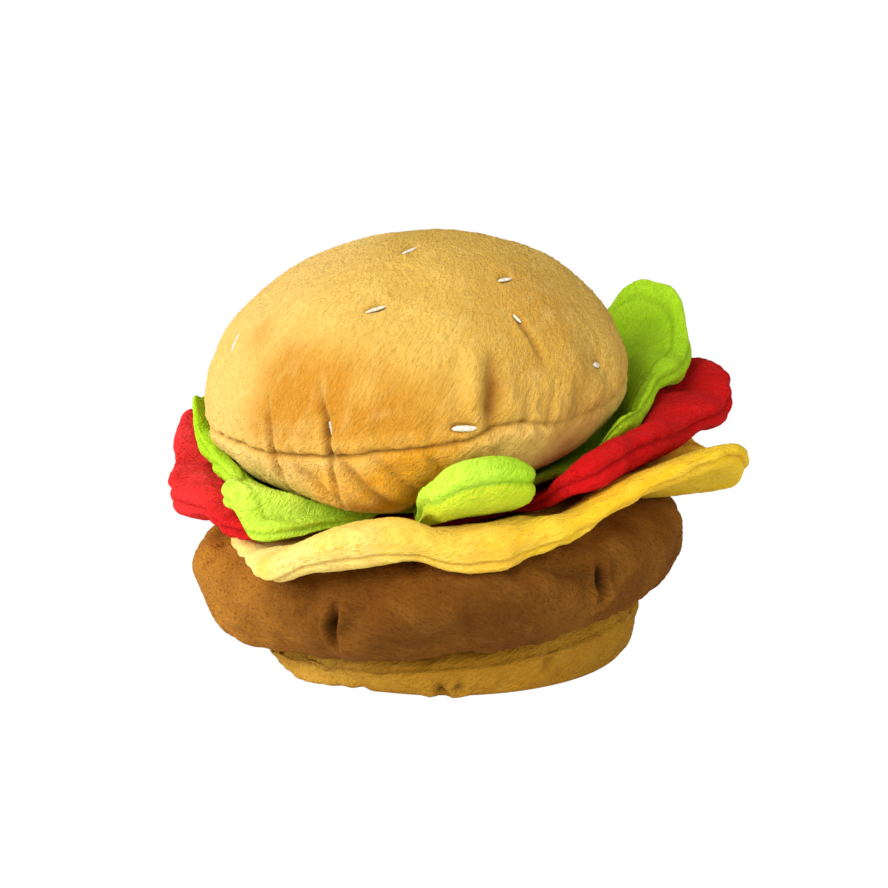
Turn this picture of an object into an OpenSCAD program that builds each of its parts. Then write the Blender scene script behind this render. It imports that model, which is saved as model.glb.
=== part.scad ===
// Plush toy hamburger: two bun halves, a patty and three thin sewn slices, held by hook-and-loop rounds.
// Millimetres, +Z up, origin at the middle of the flat base of the bottom bun.
// The stack leans to the left on its base. Heights named *_z above the base are measured along the lean.

/* [Stack] */
// Sideways lean of everything above the base, in degrees
stack_lean = 6.5; // [0:0.5:9]
// Sideways offset of the stack's axis at the base
stack_shift = 2.5; // [0:0.5:4]
// Thickness of the plush fabric on the stuffed pieces
plush_t = 1.8; // [1.2:0.1:2.4]
// Thickness of the fabric on the thin slices
slice_plush_t = 1.0; // [0.8:0.05:1.2]
// Clearance between two layers that lie on each other
layer_gap = 0.8; // [0.6:0.1:1]
// Clearance between a fabric shell and what fills it
filling_gap = 0.15; // [0.1:0.05:0.3]
// Clearance between the two fabric panels at a seam
seam_gap = 0.1; // [0.06:0.02:0.3]

/* [Hook and loop rounds] */
// Diameter of a round
round_d = 22; // [16:1:26]
// Thickness of a round
round_t = 0.9; // [0.6:0.1:1.2]
// Clearance between a hook round and the loop round that it grips
round_gap = 0.2; // [0.1:0.1:0.5]

/* [Bottom bun] */
// Diameter at the widest part of the side
heel_d = 104; // [98:1:108]
// Diameter of the flat base
heel_base_d = 96; // [86:1:97]
// Height of the widest part above the base
heel_bulge_z = 8; // [6:0.5:10]
// Height of the seam between the side and the top panel
heel_seam_z = 8.6; // [8:0.2:10]
// Height of the seat of the hook round
heel_seat_z = 14.2; // [13:0.2:16]
// Width of the rounded shoulder of the top panel
heel_shoulder_w = 7; // [5:0.5:10]

/* [Patty] */
// Diameter at the widest part
patty_d = 135; // [128:1:140]
// Sideways offset of the patty
patty_shift = -1.5; // [-3:0.5:1]
// Height of the widest part above the hook round under the patty
patty_bulge_up = 13; // [11:0.5:15]
// Rise of the shoulder above the widest part
patty_shoulder_up = 11; // [9:0.5:13]
// Drop of the lower rim below the widest part
patty_rim_down = 15.5; // [14:0.5:17]
// Depth of the dimple in the middle of the top
patty_dimple = 8.5; // [7:0.5:10]
// Radius at which the rounded shoulder starts
patty_shoulder_r = 48; // [44:1:52]
// Radius of the lowest line of the rim, where the base panel is sewn in
patty_rim_r = 56; // [53:1:59]

/* [Cheese] */
// Half of the side of the square slice
cheese_half = 67; // [62:1:70]
// Turn of the square about the stack, in degrees
cheese_turn = 14; // [0:1:20]
// Sideways offset of the slice
cheese_x = 6.5; // [2:0.5:8]
// Offset of the slice towards the back
cheese_y = 4; // [0:0.5:8]
// Plump thickness near the rim
cheese_plump = 8; // [6:0.5:9]

/* [Tomato] */
// Mean radius of the slice
tomato_r = 64; // [60:1:67]
// Plump thickness near the rim
tomato_plump = 9; // [7:0.5:10]

/* [Lettuce] */
// Radius between the leaf lobes
lettuce_r = 59; // [57:1:61]
// Plump thickness near the rim
lettuce_plump = 8; // [6:0.5:9]

/* [Slices] */
// Thickness of a slice where it is pressed flat
slice_t = 3.2; // [2.8:0.1:3.6]
// Thickness of the sewn rim
slice_rim_t = 2; // [1.6:0.1:2.6]

/* [Top bun] */
// Diameter at the seam
bun_d = 116; // [112:1:118]
// Height of the crown above the seam
bun_crown_h = 43; // [38:0.5:48]
// Depth of the underside below the seam
bun_under_h = 27; // [26:0.2:28]
// Height of the seam above the seat of the loop round
bun_seat_depth = 24.6; // [24:0.2:26]
// Sideways offset of the bun
bun_x = -2.8; // [-4:0.2:0]
// Offset of the bun towards the back
bun_y = -1; // [-3:0.5:2]
// Forward dip of the seam line, in degrees
bun_seam_dip = 4; // [0:0.5:6]

/* [Sesame seeds] */
// Length of an embroidered seed
seed_l = 6.4; // [5:0.2:8]
// Width of an embroidered seed
seed_w = 2.4; // [1.8:0.2:3]
// How deep the middle of a seed lies under the pile
seed_sink = 0.3; // [0:0.1:0.6]

/* [Hidden] */

curve_steps = 12;          // straight pieces in a quarter of a curved outline
facets = 96;
seat_r = round_d / 2 + 1;  // flat seat around a round
grip = 2 * round_t + round_gap;  // what a hook round and a loop round take up
wide = 400;                // larger than the whole toy

// Heights of the seats, from the base upwards: each layer sits on the rounds of the one below it
patty_low_z = heel_seat_z + grip;
patty_bulge_z = patty_low_z + patty_bulge_up;
patty_top_z = patty_bulge_z + patty_shoulder_up;
patty_seat_z = patty_top_z - patty_dimple;
cheese_low_z = patty_seat_z + grip;
cheese_seat_z = cheese_low_z + slice_t;
tomato_low_z = cheese_seat_z + grip;
tomato_seat_z = tomato_low_z + slice_t;
lettuce_low_z = tomato_seat_z + grip;
lettuce_seat_z = lettuce_low_z + slice_t;
bun_low_z = lettuce_seat_z + grip;
bun_seam_z = bun_low_z + bun_seat_depth;

// ---- shared functions ----

// 0 up to 1 with flat ends
function ramp(x) = let (c = min(max(x, 0), 1)) c * c * (3 - 2 * c);

// Signed angle from c to a
function swing(a, c) = let (d = (a - c + 720) % 360) d > 180 ? d - 360 : d;

// One rounded lobe, 1 at the azimuth c and near 0 two half widths away; more power squares it
lobe_power = 2.8;
function bump(a, c, w) = exp(-pow(abs(swing(a, c)) / w, lobe_power));

function total(v) = v * [for (x = v) 1];

// Sum of what a list of lobes gives at azimuth a, where k picks reach, lift or extra plumpness
function lobe_sum(lobes, a, k) = total([for (l = lobes) l[k] * bump(a, l[0], l[1])]);

// Quarter of an ellipse from the top of its axis to its widest point, or back with from and to swapped
function quarter(centre, rx, rz, from, to) =
    [for (i = [0:curve_steps]) let (t = from + (to - from) * i / curve_steps)
        centre + [rx * sin(t), rz * cos(t)]];

function back(points) = [for (i = [len(points) - 1:-1:0]) points[i]];

// The room between two layers: rounds in the middle, then a small clearance
function seat_gap(r) = layer_gap + (grip - layer_gap) * (1 - ramp((r - seat_r) / 6));

module leaned() {
    translate([stack_shift, 0, 0]) rotate([0, -stack_lean, 0]) children();
}

// Everything above (side = 1) or below (side = -1) the height z
module keep_side(z, side) {
    translate([-wide / 2, -wide / 2, side > 0 ? z : z - wide]) cube(wide);
}

module fabric_round(z) {
    leaned() translate([0, 0, z]) cylinder(h = round_t, d = round_d, $fn = facets);
}

// ---- bottom bun ----

// Upright outline of the side and base, moved in by the inset
function heel_pan(inset) = concat(
    [[0, inset]],
    back(quarter([heel_base_d / 2, heel_bulge_z], heel_d / 2 - heel_base_d / 2 - inset,
        heel_bulge_z - inset, 90, 180)),
    [[heel_d / 2 - inset, heel_bulge_z], [heel_d / 2 - 0.5 - inset, heel_bulge_z + 12],
     [0, heel_bulge_z + 12]]);

// Height of the top, which follows the underside of the patty a clearance lower
function heel_top(r) = patty_under(r - patty_shift) - seat_gap(r);

// Leaned outline of the top panel, moved in by the inset
function heel_dome(inset) = let (edge = heel_d / 2 - 1, start = edge - heel_shoulder_w) concat(
    [[0, 0], [edge - inset, 0], [edge - inset, heel_seam_z]],
    back(quarter([start, heel_seam_z], heel_shoulder_w - inset,
        heel_top(start) - heel_seam_z - inset, 0, 90)),
    [for (i = [1:curve_steps - 1]) let (r = start + (seat_r - start) * i / curve_steps)
        [r, heel_top(r) - inset]],
    [[seat_r, heel_seat_z - inset], [0, heel_seat_z - inset]]);

module heel_pan_solid(inset) {
    rotate_extrude($fn = facets) polygon(heel_pan(inset));
}

module heel_dome_solid(inset) {
    leaned() rotate_extrude($fn = facets) polygon(heel_dome(inset));
}

module heel_side_panel() {
    color("peru") difference() {
        heel_pan_solid(0);
        heel_pan_solid(plush_t);
        leaned() keep_side(heel_seam_z - seam_gap, 1);
    }
}

module heel_top_panel() {
    color("peru") difference() {
        heel_dome_solid(0);
        heel_dome_solid(plush_t);
        leaned() keep_side(heel_seam_z, -1);
    }
}

module heel_stuffing() {
    inset = plush_t + filling_gap;
    color("ivory") {
        difference() {
            heel_pan_solid(inset);
            leaned() keep_side(heel_seam_z, 1);
        }
        difference() {
            heel_dome_solid(inset);
            leaned() keep_side(heel_seam_z, -1);
        }
    }
}

module heel_hook_round() {
    color("tan") fabric_round(heel_seat_z);
}

// ---- patty ----

// Height of the patty's top at the distance r from its middle
function patty_top(r) =
    r <= patty_shoulder_r
        ? patty_seat_z + patty_dimple * ramp((r - seat_r - 2) / (patty_shoulder_r - seat_r - 2))
        : let (v = min((r - patty_shoulder_r) / (patty_d / 2 - patty_shoulder_r), 1))
            patty_bulge_z + patty_shoulder_up * sqrt(1 - v * v);

// Height of the patty's underside, which rises from the rim to the seat of the loop round
function patty_under(r) =
    let (rim = patty_bulge_z - patty_rim_down)
    rim + (patty_low_z - rim) * (1 - ramp((r - seat_r - 2) / (patty_rim_r - seat_r - 2)));

function patty_outline_top(inset) = concat(
    [[0, patty_seat_z - inset], [seat_r, patty_seat_z - inset]],
    [for (i = [1:curve_steps - 1]) let (r = seat_r + (patty_shoulder_r - seat_r) * i / curve_steps)
        [r, patty_top(r) - inset]],
    quarter([patty_shoulder_r, patty_bulge_z], patty_d / 2 - patty_shoulder_r - inset,
        patty_shoulder_up - inset, 0, 90));

function patty_outline_side(inset) =
    quarter([patty_rim_r, patty_bulge_z], patty_d / 2 - patty_rim_r - inset,
        patty_rim_down - inset, 90, 180);

function patty_outline_under(inset) = concat(
    [for (i = [1:curve_steps - 1]) let (r = patty_rim_r - (patty_rim_r - seat_r) * i / curve_steps)
        [r, patty_under(r) + inset]],
    [[seat_r, patty_low_z + inset], [0, patty_low_z + inset]]);

module patty_body(inset) {
    rotate_extrude($fn = facets)
        polygon(concat(patty_outline_top(inset), patty_outline_side(inset), patty_outline_under(inset)));
}

module patty_top_panel() {
    color("saddlebrown") leaned() translate([patty_shift, 0, 0]) difference() {
        patty_body(0);
        patty_body(plush_t);
        cylinder(h = patty_bulge_z, r = patty_rim_r, $fn = facets);
    }
}

module patty_base_panel() {
    color("saddlebrown") leaned() translate([patty_shift, 0, 0]) intersection() {
        difference() {
            patty_body(0);
            patty_body(plush_t);
        }
        cylinder(h = patty_bulge_z, r = patty_rim_r - seam_gap, $fn = facets);
    }
}

module patty_stuffing() {
    color("ivory") leaned() translate([patty_shift, 0, 0]) patty_body(plush_t + filling_gap);
}

module patty_loop_round() {
    color("tan") fabric_round(patty_low_z - round_t);
}

module patty_hook_round() {
    color("tan") fabric_round(patty_seat_z);
}

// ---- thin slices ----
// Each slice is a surface over the plan position p = [x, y] across the lean. Its lower side lies on the
// layer below and rises outwards in lobes; its thickness grows from the pressed middle to a plump edge
// and rounds down to the sewn rim.

// A lobe is [azimuth, half width in degrees, extra reach, lift at lobe_span, extra plumpness, curl],
// where a curl of 2 rises evenly and a curl of 7 stands up only near the rim
lobe_span = 54;            // distance beyond the seat at which a lobe has its full lift
press_r = 46;              // the slices are pressed flat up to this radius
puff_w = 19;               // and reach their full thickness this much further out
roll_share = 0.75;         // the rim rounds off over this share of the thickness

cheese_lobes = [[-36, 20, 0, 8, -2.5, 2], [2, 18, 0, -1, 5, 2], [-125, 22, 0, 2, -2, 2],
    [-101, 17, 0, 2.5, 0, 2], [75, 30, 0, 2, 0, 2]];
tomato_lobes = [[24, 30, 24, 7.5, 1, 2], [177, 30, 11, 5, 0, 4], [150, 18, 4, 6, 0, 5],
    [95, 26, 6, 4, 0, 3], [-94, 28, -36, 1, -4.5, 2], [-138, 12, 2, -1, -4, 2],
    [-38, 22, 6, 1, 0.5, 2]];
lettuce_lobes = [[33, 29, 24, 13.2, 0, 4], [-75, 16, 15, 4, 3, 3], [-91, 14, 0, 6.5, 2, 3],
    [-58, 11, 0, -1, -5, 2], [-44, 15, -9, 0, 0, 2], [-108, 12, -12, 0, -2, 2],
    [-133, 14, 11, 0, -1.5, 4], [-150, 13, 3, 22, -3, 6], [168, 16, 7, 31, -4.5, 7],
    [128, 15, 11, 15, -1, 6], [88, 20, 15, 19, -1, 4]];

function plan_r(p) = norm(p);
function plan_a(p) = atan2(p[1], p[0]);
function spread(p) = max(plan_r(p) - seat_r - 2, 0) / lobe_span;

// The cheese is a square with rounded corners about its own centre; its edge is found along each
// ray from the stack's axis by halving the step between inside and outside
cheese_centre = [cheese_x, cheese_y];
cheese_corner = 7;         // a larger power gives a sharper corner
function in_cheese(p) = let (d = p - cheese_centre, u = plan_a(d) - cheese_turn, r = norm(d))
    pow(abs(r * cos(u)) / cheese_half, cheese_corner) + pow(abs(r * sin(u)) / cheese_half, cheese_corner) < 1;
function edge_search(a, near, far, left) = let (r = (near + far) / 2)
    left == 0 ? r : in_cheese(r * [cos(a), sin(a)])
        ? edge_search(a, r, far, left - 1) : edge_search(a, near, r, left - 1);
function cheese_edge(a) = edge_search(a, 0, 2 * cheese_half, 24);
function tomato_edge(a) = tomato_r + lobe_sum(tomato_lobes, a, 2) + 1.2 * cos(3 * a + 20);
function lettuce_edge(a) = lettuce_r + lobe_sum(lettuce_lobes, a, 2);

function lobe_rise(lobes, p) =
    total([for (l = lobes) l[3] * bump(plan_a(p), l[0], l[1]) * pow(spread(p), l[5])]);
function lobe_slope(lobes, p) = total([for (l = lobes)
    l[3] * bump(plan_a(p), l[0], l[1]) * l[5] * pow(spread(p), l[5] - 1) / lobe_span]);

// Thickness of a slice at p before its rim rounds off, and then with rim_in as the distance to the rim
function full_thick(p, plump, lobes) =
    let (plumper = plump + lobe_sum(lobes, plan_a(p), 4), slope = lobe_slope(lobes, p))
    (slice_t + (plumper - slice_t) * ramp((plan_r(p) - press_r) / puff_w)) * sqrt(1 + slope * slope);
function rounded_thick(full, plump, rim_in) =
    let (roll = min(max(1 - rim_in / (roll_share * plump), 0), 1))
    max(min(slice_rim_t, full), full * sqrt(max(1 - pow(roll, 2.2), 0)));

// Bed of a slice: its own rise, or the clearance above the layer under it where that is higher
function bed(floor_z, p, low_z, dish, lobes) = max(floor_z + seat_gap(plan_r(p)),
    low_z + dish * ramp((plan_r(p) - seat_r) / 38) + lobe_rise(lobes, p));

// Cheese: hangs over the patty's shoulder
function cheese_in(p) = cheese_edge(plan_a(p)) - plan_r(p);
function cheese_bed(p) = bed(patty_top(plan_r(p - [patty_shift, 0])), p, cheese_low_z, 5, cheese_lobes);
function cheese_full(p) = full_thick(p, cheese_plump, cheese_lobes);
function cheese_top(p) = cheese_bed(p) + rounded_thick(cheese_full(p), cheese_plump, cheese_in(p));

// Tomato: lies on the cheese, lifts at the right and the left
rim_gap = 0.9;             // extra clearance near the rim, where the rings of the two differ
function tomato_in(p) = tomato_edge(plan_a(p)) - plan_r(p);
function tomato_bed(p) = bed(cheese_bed(p) + cheese_full(p) + rim_gap * ramp((plan_r(p) - 50) / 10),
    p, tomato_low_z, 4, tomato_lobes);
function tomato_full(p) = full_thick(p, tomato_plump, tomato_lobes);
function tomato_top(p) = tomato_bed(p) + rounded_thick(tomato_full(p), tomato_plump, tomato_in(p));

// Lettuce: lies on the tomato, and on the cheese past the tomato's rim; its lobes stand up
rim_clear = 5;             // the lettuce stays at the tomato's height this far past the tomato's rim
rim_fall = 6;              // and comes down to the cheese over this width
leaf_gap = 1.1;            // extra clearance under it, as its rings differ at the notches too
function lettuce_in(p) = lettuce_edge(plan_a(p)) - plan_r(p);
function lettuce_floor(p) =
    let (low = cheese_bed(p) + cheese_full(p), high = tomato_bed(p) + tomato_full(p))
    low + (high - low) * ramp((tomato_in(p) + rim_clear) / rim_fall + 1);
function lettuce_bed(p) =
    bed(lettuce_floor(p) + leaf_gap * ramp((plan_r(p) - 24) / 16), p, lettuce_low_z, 1.5, lettuce_lobes);
function lettuce_full(p) = full_thick(p, lettuce_plump, lettuce_lobes);
function lettuce_top(p) =
    lettuce_bed(p) + rounded_thick(lettuce_full(p), lettuce_plump, lettuce_in(p));

// Radii of the rings of a slice at an azimuth where its edge lies at e. The inner rings are the same in
// all slices, so that their surfaces lie parallel; the outer rings share what is left to the edge.
sectors = 48;
inner_rings = [23, 33, 42, 49, 56];
rim_room = 3;              // least distance between the inner rings and the edge
function ring_radii(e, shares) =
    let (k = min(1, (e - rim_room - seat_r) / (inner_rings[4] - seat_r)),
        inner = [for (r = inner_rings) seat_r + (r - seat_r) * k])
    concat([seat_r], inner, [for (f = shares) inner[4] + (e - inner[4]) * f]);

// Plan positions of a slice, ring by ring
function ring_points(edge, shares) =
    let (rays = [for (j = [0:sectors - 1]) ring_radii(edge(360 * j / sectors), shares)])
    [for (i = [0:len(rays[0]) - 1], j = [0:sectors - 1])
        let (a = 360 * j / sectors) rays[j][i] * [cos(a), sin(a)]];

// Closed solid between two heights over the same plan positions
module layer(plan, high, low) {
    n = len(plan);
    rings = n / sectors - 1;
    points = concat([for (p = plan) [p[0], p[1], high(p)]], [for (p = plan) [p[0], p[1], low(p)]]);
    strip = [for (i = [0:rings - 1], j = [0:sectors - 1])
        [i * sectors + j, i * sectors + (j + 1) % sectors,
         (i + 1) * sectors + (j + 1) % sectors, (i + 1) * sectors + j]];
    upper = [for (q = strip, k = [0:1]) k == 0 ? [q[0], q[1], q[2]] : [q[0], q[2], q[3]]];
    lower = [for (q = upper) [q[2] + n, q[1] + n, q[0] + n]];
    last = rings * sectors;
    rim = [for (j = [0:sectors - 1], k = [0:1]) let (a = last + j, b = last + (j + 1) % sectors)
        k == 0 ? [a, b, b + n] : [a, b + n, a + n]];
    seat = [[for (j = [0:sectors - 1]) j + n], [for (j = [sectors - 1:-1:0]) j]];
    polyhedron(points = points, faces = concat(upper, lower, rim, seat));
}

function middle(p, bed, top) = (bed(p) + top(p)) / 2;

module upper_sheet(edge, bed, top, shares) {
    lining = function (p) max(top(p) - slice_plush_t, middle(p, bed, top) + seam_gap / 2);
    leaned() layer(ring_points(edge, shares), top, lining);
}

module lower_sheet(edge, bed, top, shares) {
    lining = function (p) min(bed(p) + slice_plush_t, middle(p, bed, top) - seam_gap / 2);
    leaned() layer(ring_points(edge, shares), lining, bed);
}

// The wadding ends at the first outer ring of its sheets
module wadding(edge, bed, top, shares) {
    inset = slice_plush_t + filling_gap;
    leaned() layer(ring_points(edge, [shares[0]]), function (p) top(p) - inset,
        function (p) bed(p) + inset);
}

rim_shares = [0.45, 0.8, 1];        // outer rings of the cheese and the tomato
leaf_shares = [0.35, 0.65, 0.88, 1];  // outer rings of the lettuce

cheese_edge_f = function (a) cheese_edge(a);
cheese_bed_f = function (p) cheese_bed(p);
cheese_top_f = function (p) cheese_top(p);
tomato_edge_f = function (a) tomato_edge(a);
tomato_bed_f = function (p) tomato_bed(p);
tomato_top_f = function (p) tomato_top(p);
lettuce_edge_f = function (a) lettuce_edge(a);
lettuce_bed_f = function (p) lettuce_bed(p);
lettuce_top_f = function (p) lettuce_top(p);

module cheese_upper_sheet() {
    color("gold") upper_sheet(cheese_edge_f, cheese_bed_f, cheese_top_f, rim_shares);
}

module cheese_lower_sheet() {
    color("gold") lower_sheet(cheese_edge_f, cheese_bed_f, cheese_top_f, rim_shares);
}

module cheese_wadding() {
    color("ivory") wadding(cheese_edge_f, cheese_bed_f, cheese_top_f, rim_shares);
}

module cheese_loop_round() {
    color("khaki") fabric_round(cheese_low_z - round_t);
}

module cheese_hook_round() {
    color("khaki") fabric_round(cheese_seat_z);
}

module tomato_upper_sheet() {
    color("crimson") upper_sheet(tomato_edge_f, tomato_bed_f, tomato_top_f, rim_shares);
}

module tomato_lower_sheet() {
    color("crimson") lower_sheet(tomato_edge_f, tomato_bed_f, tomato_top_f, rim_shares);
}

module tomato_wadding() {
    color("ivory") wadding(tomato_edge_f, tomato_bed_f, tomato_top_f, rim_shares);
}

module tomato_loop_round() {
    color("firebrick") fabric_round(tomato_low_z - round_t);
}

module tomato_hook_round() {
    color("firebrick") fabric_round(tomato_seat_z);
}

module lettuce_upper_sheet() {
    color("yellowgreen") upper_sheet(lettuce_edge_f, lettuce_bed_f, lettuce_top_f, leaf_shares);
}

module lettuce_lower_sheet() {
    color("yellowgreen") lower_sheet(lettuce_edge_f, lettuce_bed_f, lettuce_top_f, leaf_shares);
}

module lettuce_wadding() {
    color("ivory") wadding(lettuce_edge_f, lettuce_bed_f, lettuce_top_f, leaf_shares);
}

module lettuce_loop_round() {
    color("olivedrab") fabric_round(lettuce_low_z - round_t);
}

module lettuce_hook_round() {
    color("olivedrab") fabric_round(lettuce_seat_z);
}

// ---- top bun ----

bun_fullness = 2.2;        // 2 gives an elliptical underside, more gives a fuller one
bun_blend_w = 18;          // the underside turns from its round form to the flat seat over this width

// Depth of the round underside below the seam at the distance r from the bun's axis
function bun_bowl(r) =
    bun_under_h * pow(max(1 - pow(min(r / (bun_d / 2), 1), bun_fullness), 0), 1 / bun_fullness);
function bun_under(r) = let (k = ramp((r - seat_r - 4) / bun_blend_w))
    -(bun_seat_depth + (bun_bowl(r) - bun_seat_depth) * k);

// Whole outline of the bun round its own axis, seam at height 0, moved in by the inset
function bun_outline(inset) = let (radius = bun_d / 2 - inset) concat(
    quarter([0, 0], radius, bun_crown_h - inset, 0, 90),
    [for (i = [1:2 * curve_steps - 1])
        let (r = radius * cos(90 * i / (2 * curve_steps)))
        if (r > seat_r + 4) [r, bun_under(r * (bun_d / 2) / radius) * (1 - inset / bun_under_h)]],
    [[seat_r + 4, -bun_seat_depth + inset], [0, -bun_seat_depth + inset]]);

module bun_place() {
    leaned() translate([bun_x, bun_y, bun_seam_z]) children();
}

module bun_body(inset) {
    rotate_extrude($fn = facets) polygon(bun_outline(inset));
}

module bun_shell() {
    difference() {
        bun_body(0);
        bun_body(plush_t);
    }
}

module seam_side(side, gap) {
    rotate([bun_seam_dip, 0, 0]) keep_side(side * gap / 2, side);
}

module bun_crown() {
    color("burlywood") bun_place() intersection() {
        bun_shell();
        seam_side(1, seam_gap);
    }
}

module bun_underside() {
    color("sandybrown") bun_place() intersection() {
        bun_shell();
        seam_side(-1, seam_gap);
    }
}

module bun_stuffing() {
    color("ivory") bun_place() bun_body(plush_t + filling_gap);
}

module bun_loop_round() {
    color("tan") fabric_round(bun_low_z - round_t);
}

// ---- sesame seeds ----

// [azimuth, angle down from the top of the crown, turn about the surface: 0 points down the crown]
seeds = [
    [-81, 20, 72], [-48, 42, 78], [-99, 47, 82], [-55, 57, 12], [-31, 80, 60], [-78, 88, 84],
    [-112, 88, 8], [-156, 60, 15], [20, 30, 40], [115, 34, -20], [75, 58, 80], [12, 60, 60],
    [160, 50, 30], [50, 80, 20], [100, 82, 75], [140, 78, 95]
];

module seed() {
    r = seed_w / 2;
    rotate([0, 90, 0]) {
        cylinder(h = seed_l - seed_w, r = r, center = true, $fn = 24);
        for (side = [-1, 1])
            translate([0, 0, side * (seed_l - seed_w) / 2]) sphere(r = r, $fn = 24);
    }
}

module sesame_seeds() {
    color("cornsilk") bun_place() for (s = seeds) {
        tilt = atan2(sin(s[1]) / (bun_d / 2), cos(s[1]) / bun_crown_h);
        rotate([0, 0, s[0]])
            translate([bun_d / 2 * sin(s[1]), 0, bun_crown_h * cos(s[1])])
                rotate([0, tilt, 0]) translate([0, 0, -seed_sink]) rotate([0, 0, s[2]]) seed();
    }
}

heel_side_panel();
heel_top_panel();
heel_stuffing();
heel_hook_round();
patty_top_panel();
patty_base_panel();
patty_stuffing();
patty_loop_round();
patty_hook_round();
cheese_upper_sheet();
cheese_lower_sheet();
cheese_wadding();
cheese_loop_round();
cheese_hook_round();
tomato_upper_sheet();
tomato_lower_sheet();
tomato_wadding();
tomato_loop_round();
tomato_hook_round();
lettuce_upper_sheet();
lettuce_lower_sheet();
lettuce_wadding();
lettuce_loop_round();
lettuce_hook_round();
bun_crown();
bun_underside();
bun_stuffing();
bun_loop_round();
sesame_seeds();
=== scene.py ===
import math
import bpy
import numpy as np
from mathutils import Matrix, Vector


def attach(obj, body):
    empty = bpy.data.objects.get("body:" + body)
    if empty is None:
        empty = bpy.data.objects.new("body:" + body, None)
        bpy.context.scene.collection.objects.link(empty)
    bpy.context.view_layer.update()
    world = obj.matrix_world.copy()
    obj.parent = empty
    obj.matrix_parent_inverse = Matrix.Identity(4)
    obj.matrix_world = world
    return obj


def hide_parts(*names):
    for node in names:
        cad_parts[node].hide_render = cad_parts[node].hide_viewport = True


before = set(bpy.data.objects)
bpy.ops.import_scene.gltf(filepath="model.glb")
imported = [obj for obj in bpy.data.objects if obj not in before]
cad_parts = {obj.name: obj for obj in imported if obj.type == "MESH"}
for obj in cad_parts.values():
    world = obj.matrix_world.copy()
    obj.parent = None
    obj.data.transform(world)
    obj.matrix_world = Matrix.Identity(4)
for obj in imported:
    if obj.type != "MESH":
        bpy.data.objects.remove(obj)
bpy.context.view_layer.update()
scene = bpy.context.scene
print("stage: frame loaded")


# New object in the scene
def added(name, data):
    obj = bpy.data.objects.new(name, data)
    scene.collection.objects.link(obj)
    return obj


# The camera stands in front, 12 degrees up, and looks a little above the middle of the stack
view = {"elevation": 12.0, "distance": 0.6, "lens": 87.57, "sensor": 36.0, "aim": (-0.001, 0.0, 0.057)}
cameraData = bpy.data.cameras.new("camera")
cameraData.sensor_width = view["sensor"]
cameraData.lens = view["lens"]
camera = added("camera", cameraData)
rise = math.radians(view["elevation"])
camera.location = Vector(view["aim"]) + view["distance"] * Vector((0, -math.cos(rise), math.sin(rise)))
camera.rotation_euler = (math.pi / 2 - rise, 0, 0)
scene.camera = camera

# All shapes are worked out in millimetres, in a frame that leans with the stack
mm = 0.001
lean = {"angle": math.radians(6.5), "shift": 2.5}


# 0 up to 1 with flat ends
def ramp(x):
    c = np.clip(x, 0, 1)
    return c * c * (3 - 2 * c)


# Signed angle from c to a, in degrees
def swing(a, c):
    return (a - c + 180) % 360 - 180


# One rounded lobe, 1 at the azimuth c and near 0 two half widths away
def bump(a, c, w, power=2.8):
    return np.exp(-np.abs(swing(a, c) / w) ** power)


# From the leaned frame in millimetres to the row frame in metres: turned by the lean, then shifted
def placed(p):
    c, s = math.cos(lean["angle"]), math.sin(lean["angle"])
    x, y, z = p[..., 0], p[..., 1], p[..., 2]
    return np.stack([lean["shift"] + x * c - z * s, y, x * s + z * c], -1) * mm


# Smooth noise between -1 and 1 over points p, one cell per unit, the same on each run. The corners of a
# cell get their values from a whole-number hash, and a point blends the eight round it.
def noise(p, seed):
    p = np.asarray(p, float)
    cell = np.floor(p).astype(np.int64)
    f = p - cell
    f = f * f * (3 - 2 * f)
    out = np.zeros(p.shape[:-1])
    for dx in (0, 1):
        for dy in (0, 1):
            for dz in (0, 1):
                n = (cell[..., 0] + dx) * 73856093 ^ (cell[..., 1] + dy) * 19349663
                n = n ^ (cell[..., 2] + dz) * 83492791 ^ seed * 2654435
                n = ((n ^ (n >> 13)) * 1274126177) & 0x7FFFFFFF
                value = ((n ^ (n >> 15)) & 0xFFFF) / 65535.0
                wx = f[..., 0] if dx else 1 - f[..., 0]
                wy = f[..., 1] if dy else 1 - f[..., 1]
                wz = f[..., 2] if dz else 1 - f[..., 2]
                out += value * wx * wy * wz
    return out * 2 - 1


# Uneven filling: smooth noise of two sizes, each given as (height, cell)
def lumps(g, sizes, seed):
    (high, wide), (low, narrow) = sizes
    return high * noise(g / wide, seed) + low * noise(g / narrow, seed + 1)


# Gathers across a seam: noise along it, a fold every few degrees, that hardly changes off the seam
def gathers(a, off, every, seed, slant=0.0, change=0.05):
    return noise(np.stack([a / every + slant * off, off * change, off * 0], -1), seed)


# Outward unit normals of a closed grid of rings and sectors: across both directions of the grid
def gridNormals(g):
    along = np.gradient(g, axis=0)
    around = np.roll(g, -1, 1) - np.roll(g, 1, 1)
    n = np.cross(along, around)
    n[0] = n[1].mean(0)
    n[-1] = n[-2].mean(0)
    return n / np.maximum(np.linalg.norm(n, axis=-1, keepdims=True), 1e-9)


# The grid moved out along its normals, with its poles closed again
def pushed(g, n, out):
    g = g + n * out[..., None]
    g[0], g[-1] = g[0].mean(0), g[-1].mean(0)
    return g


# Distance of every grid point to a polyline, and how far along it the nearest point lies, from 0 to 1
def alongPath(g, path):
    best = np.full(g.shape[:-1], 1e9)
    where = np.zeros(g.shape[:-1])
    lengths = np.linalg.norm(np.diff(path, axis=0), axis=1)
    starts = np.concatenate([[0], np.cumsum(lengths)])
    for a, b, s, length in zip(path[:-1], path[1:], starts, lengths):
        d = b - a
        t = np.clip(((g - a) @ d) / max(d @ d, 1e-9), 0, 1)
        distance = np.linalg.norm(g - (a + t[..., None] * d), axis=-1)
        near = distance < best
        best = np.where(near, distance, best)
        where = np.where(near, (s + t * length) / starts[-1], where)
    return best, where


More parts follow.
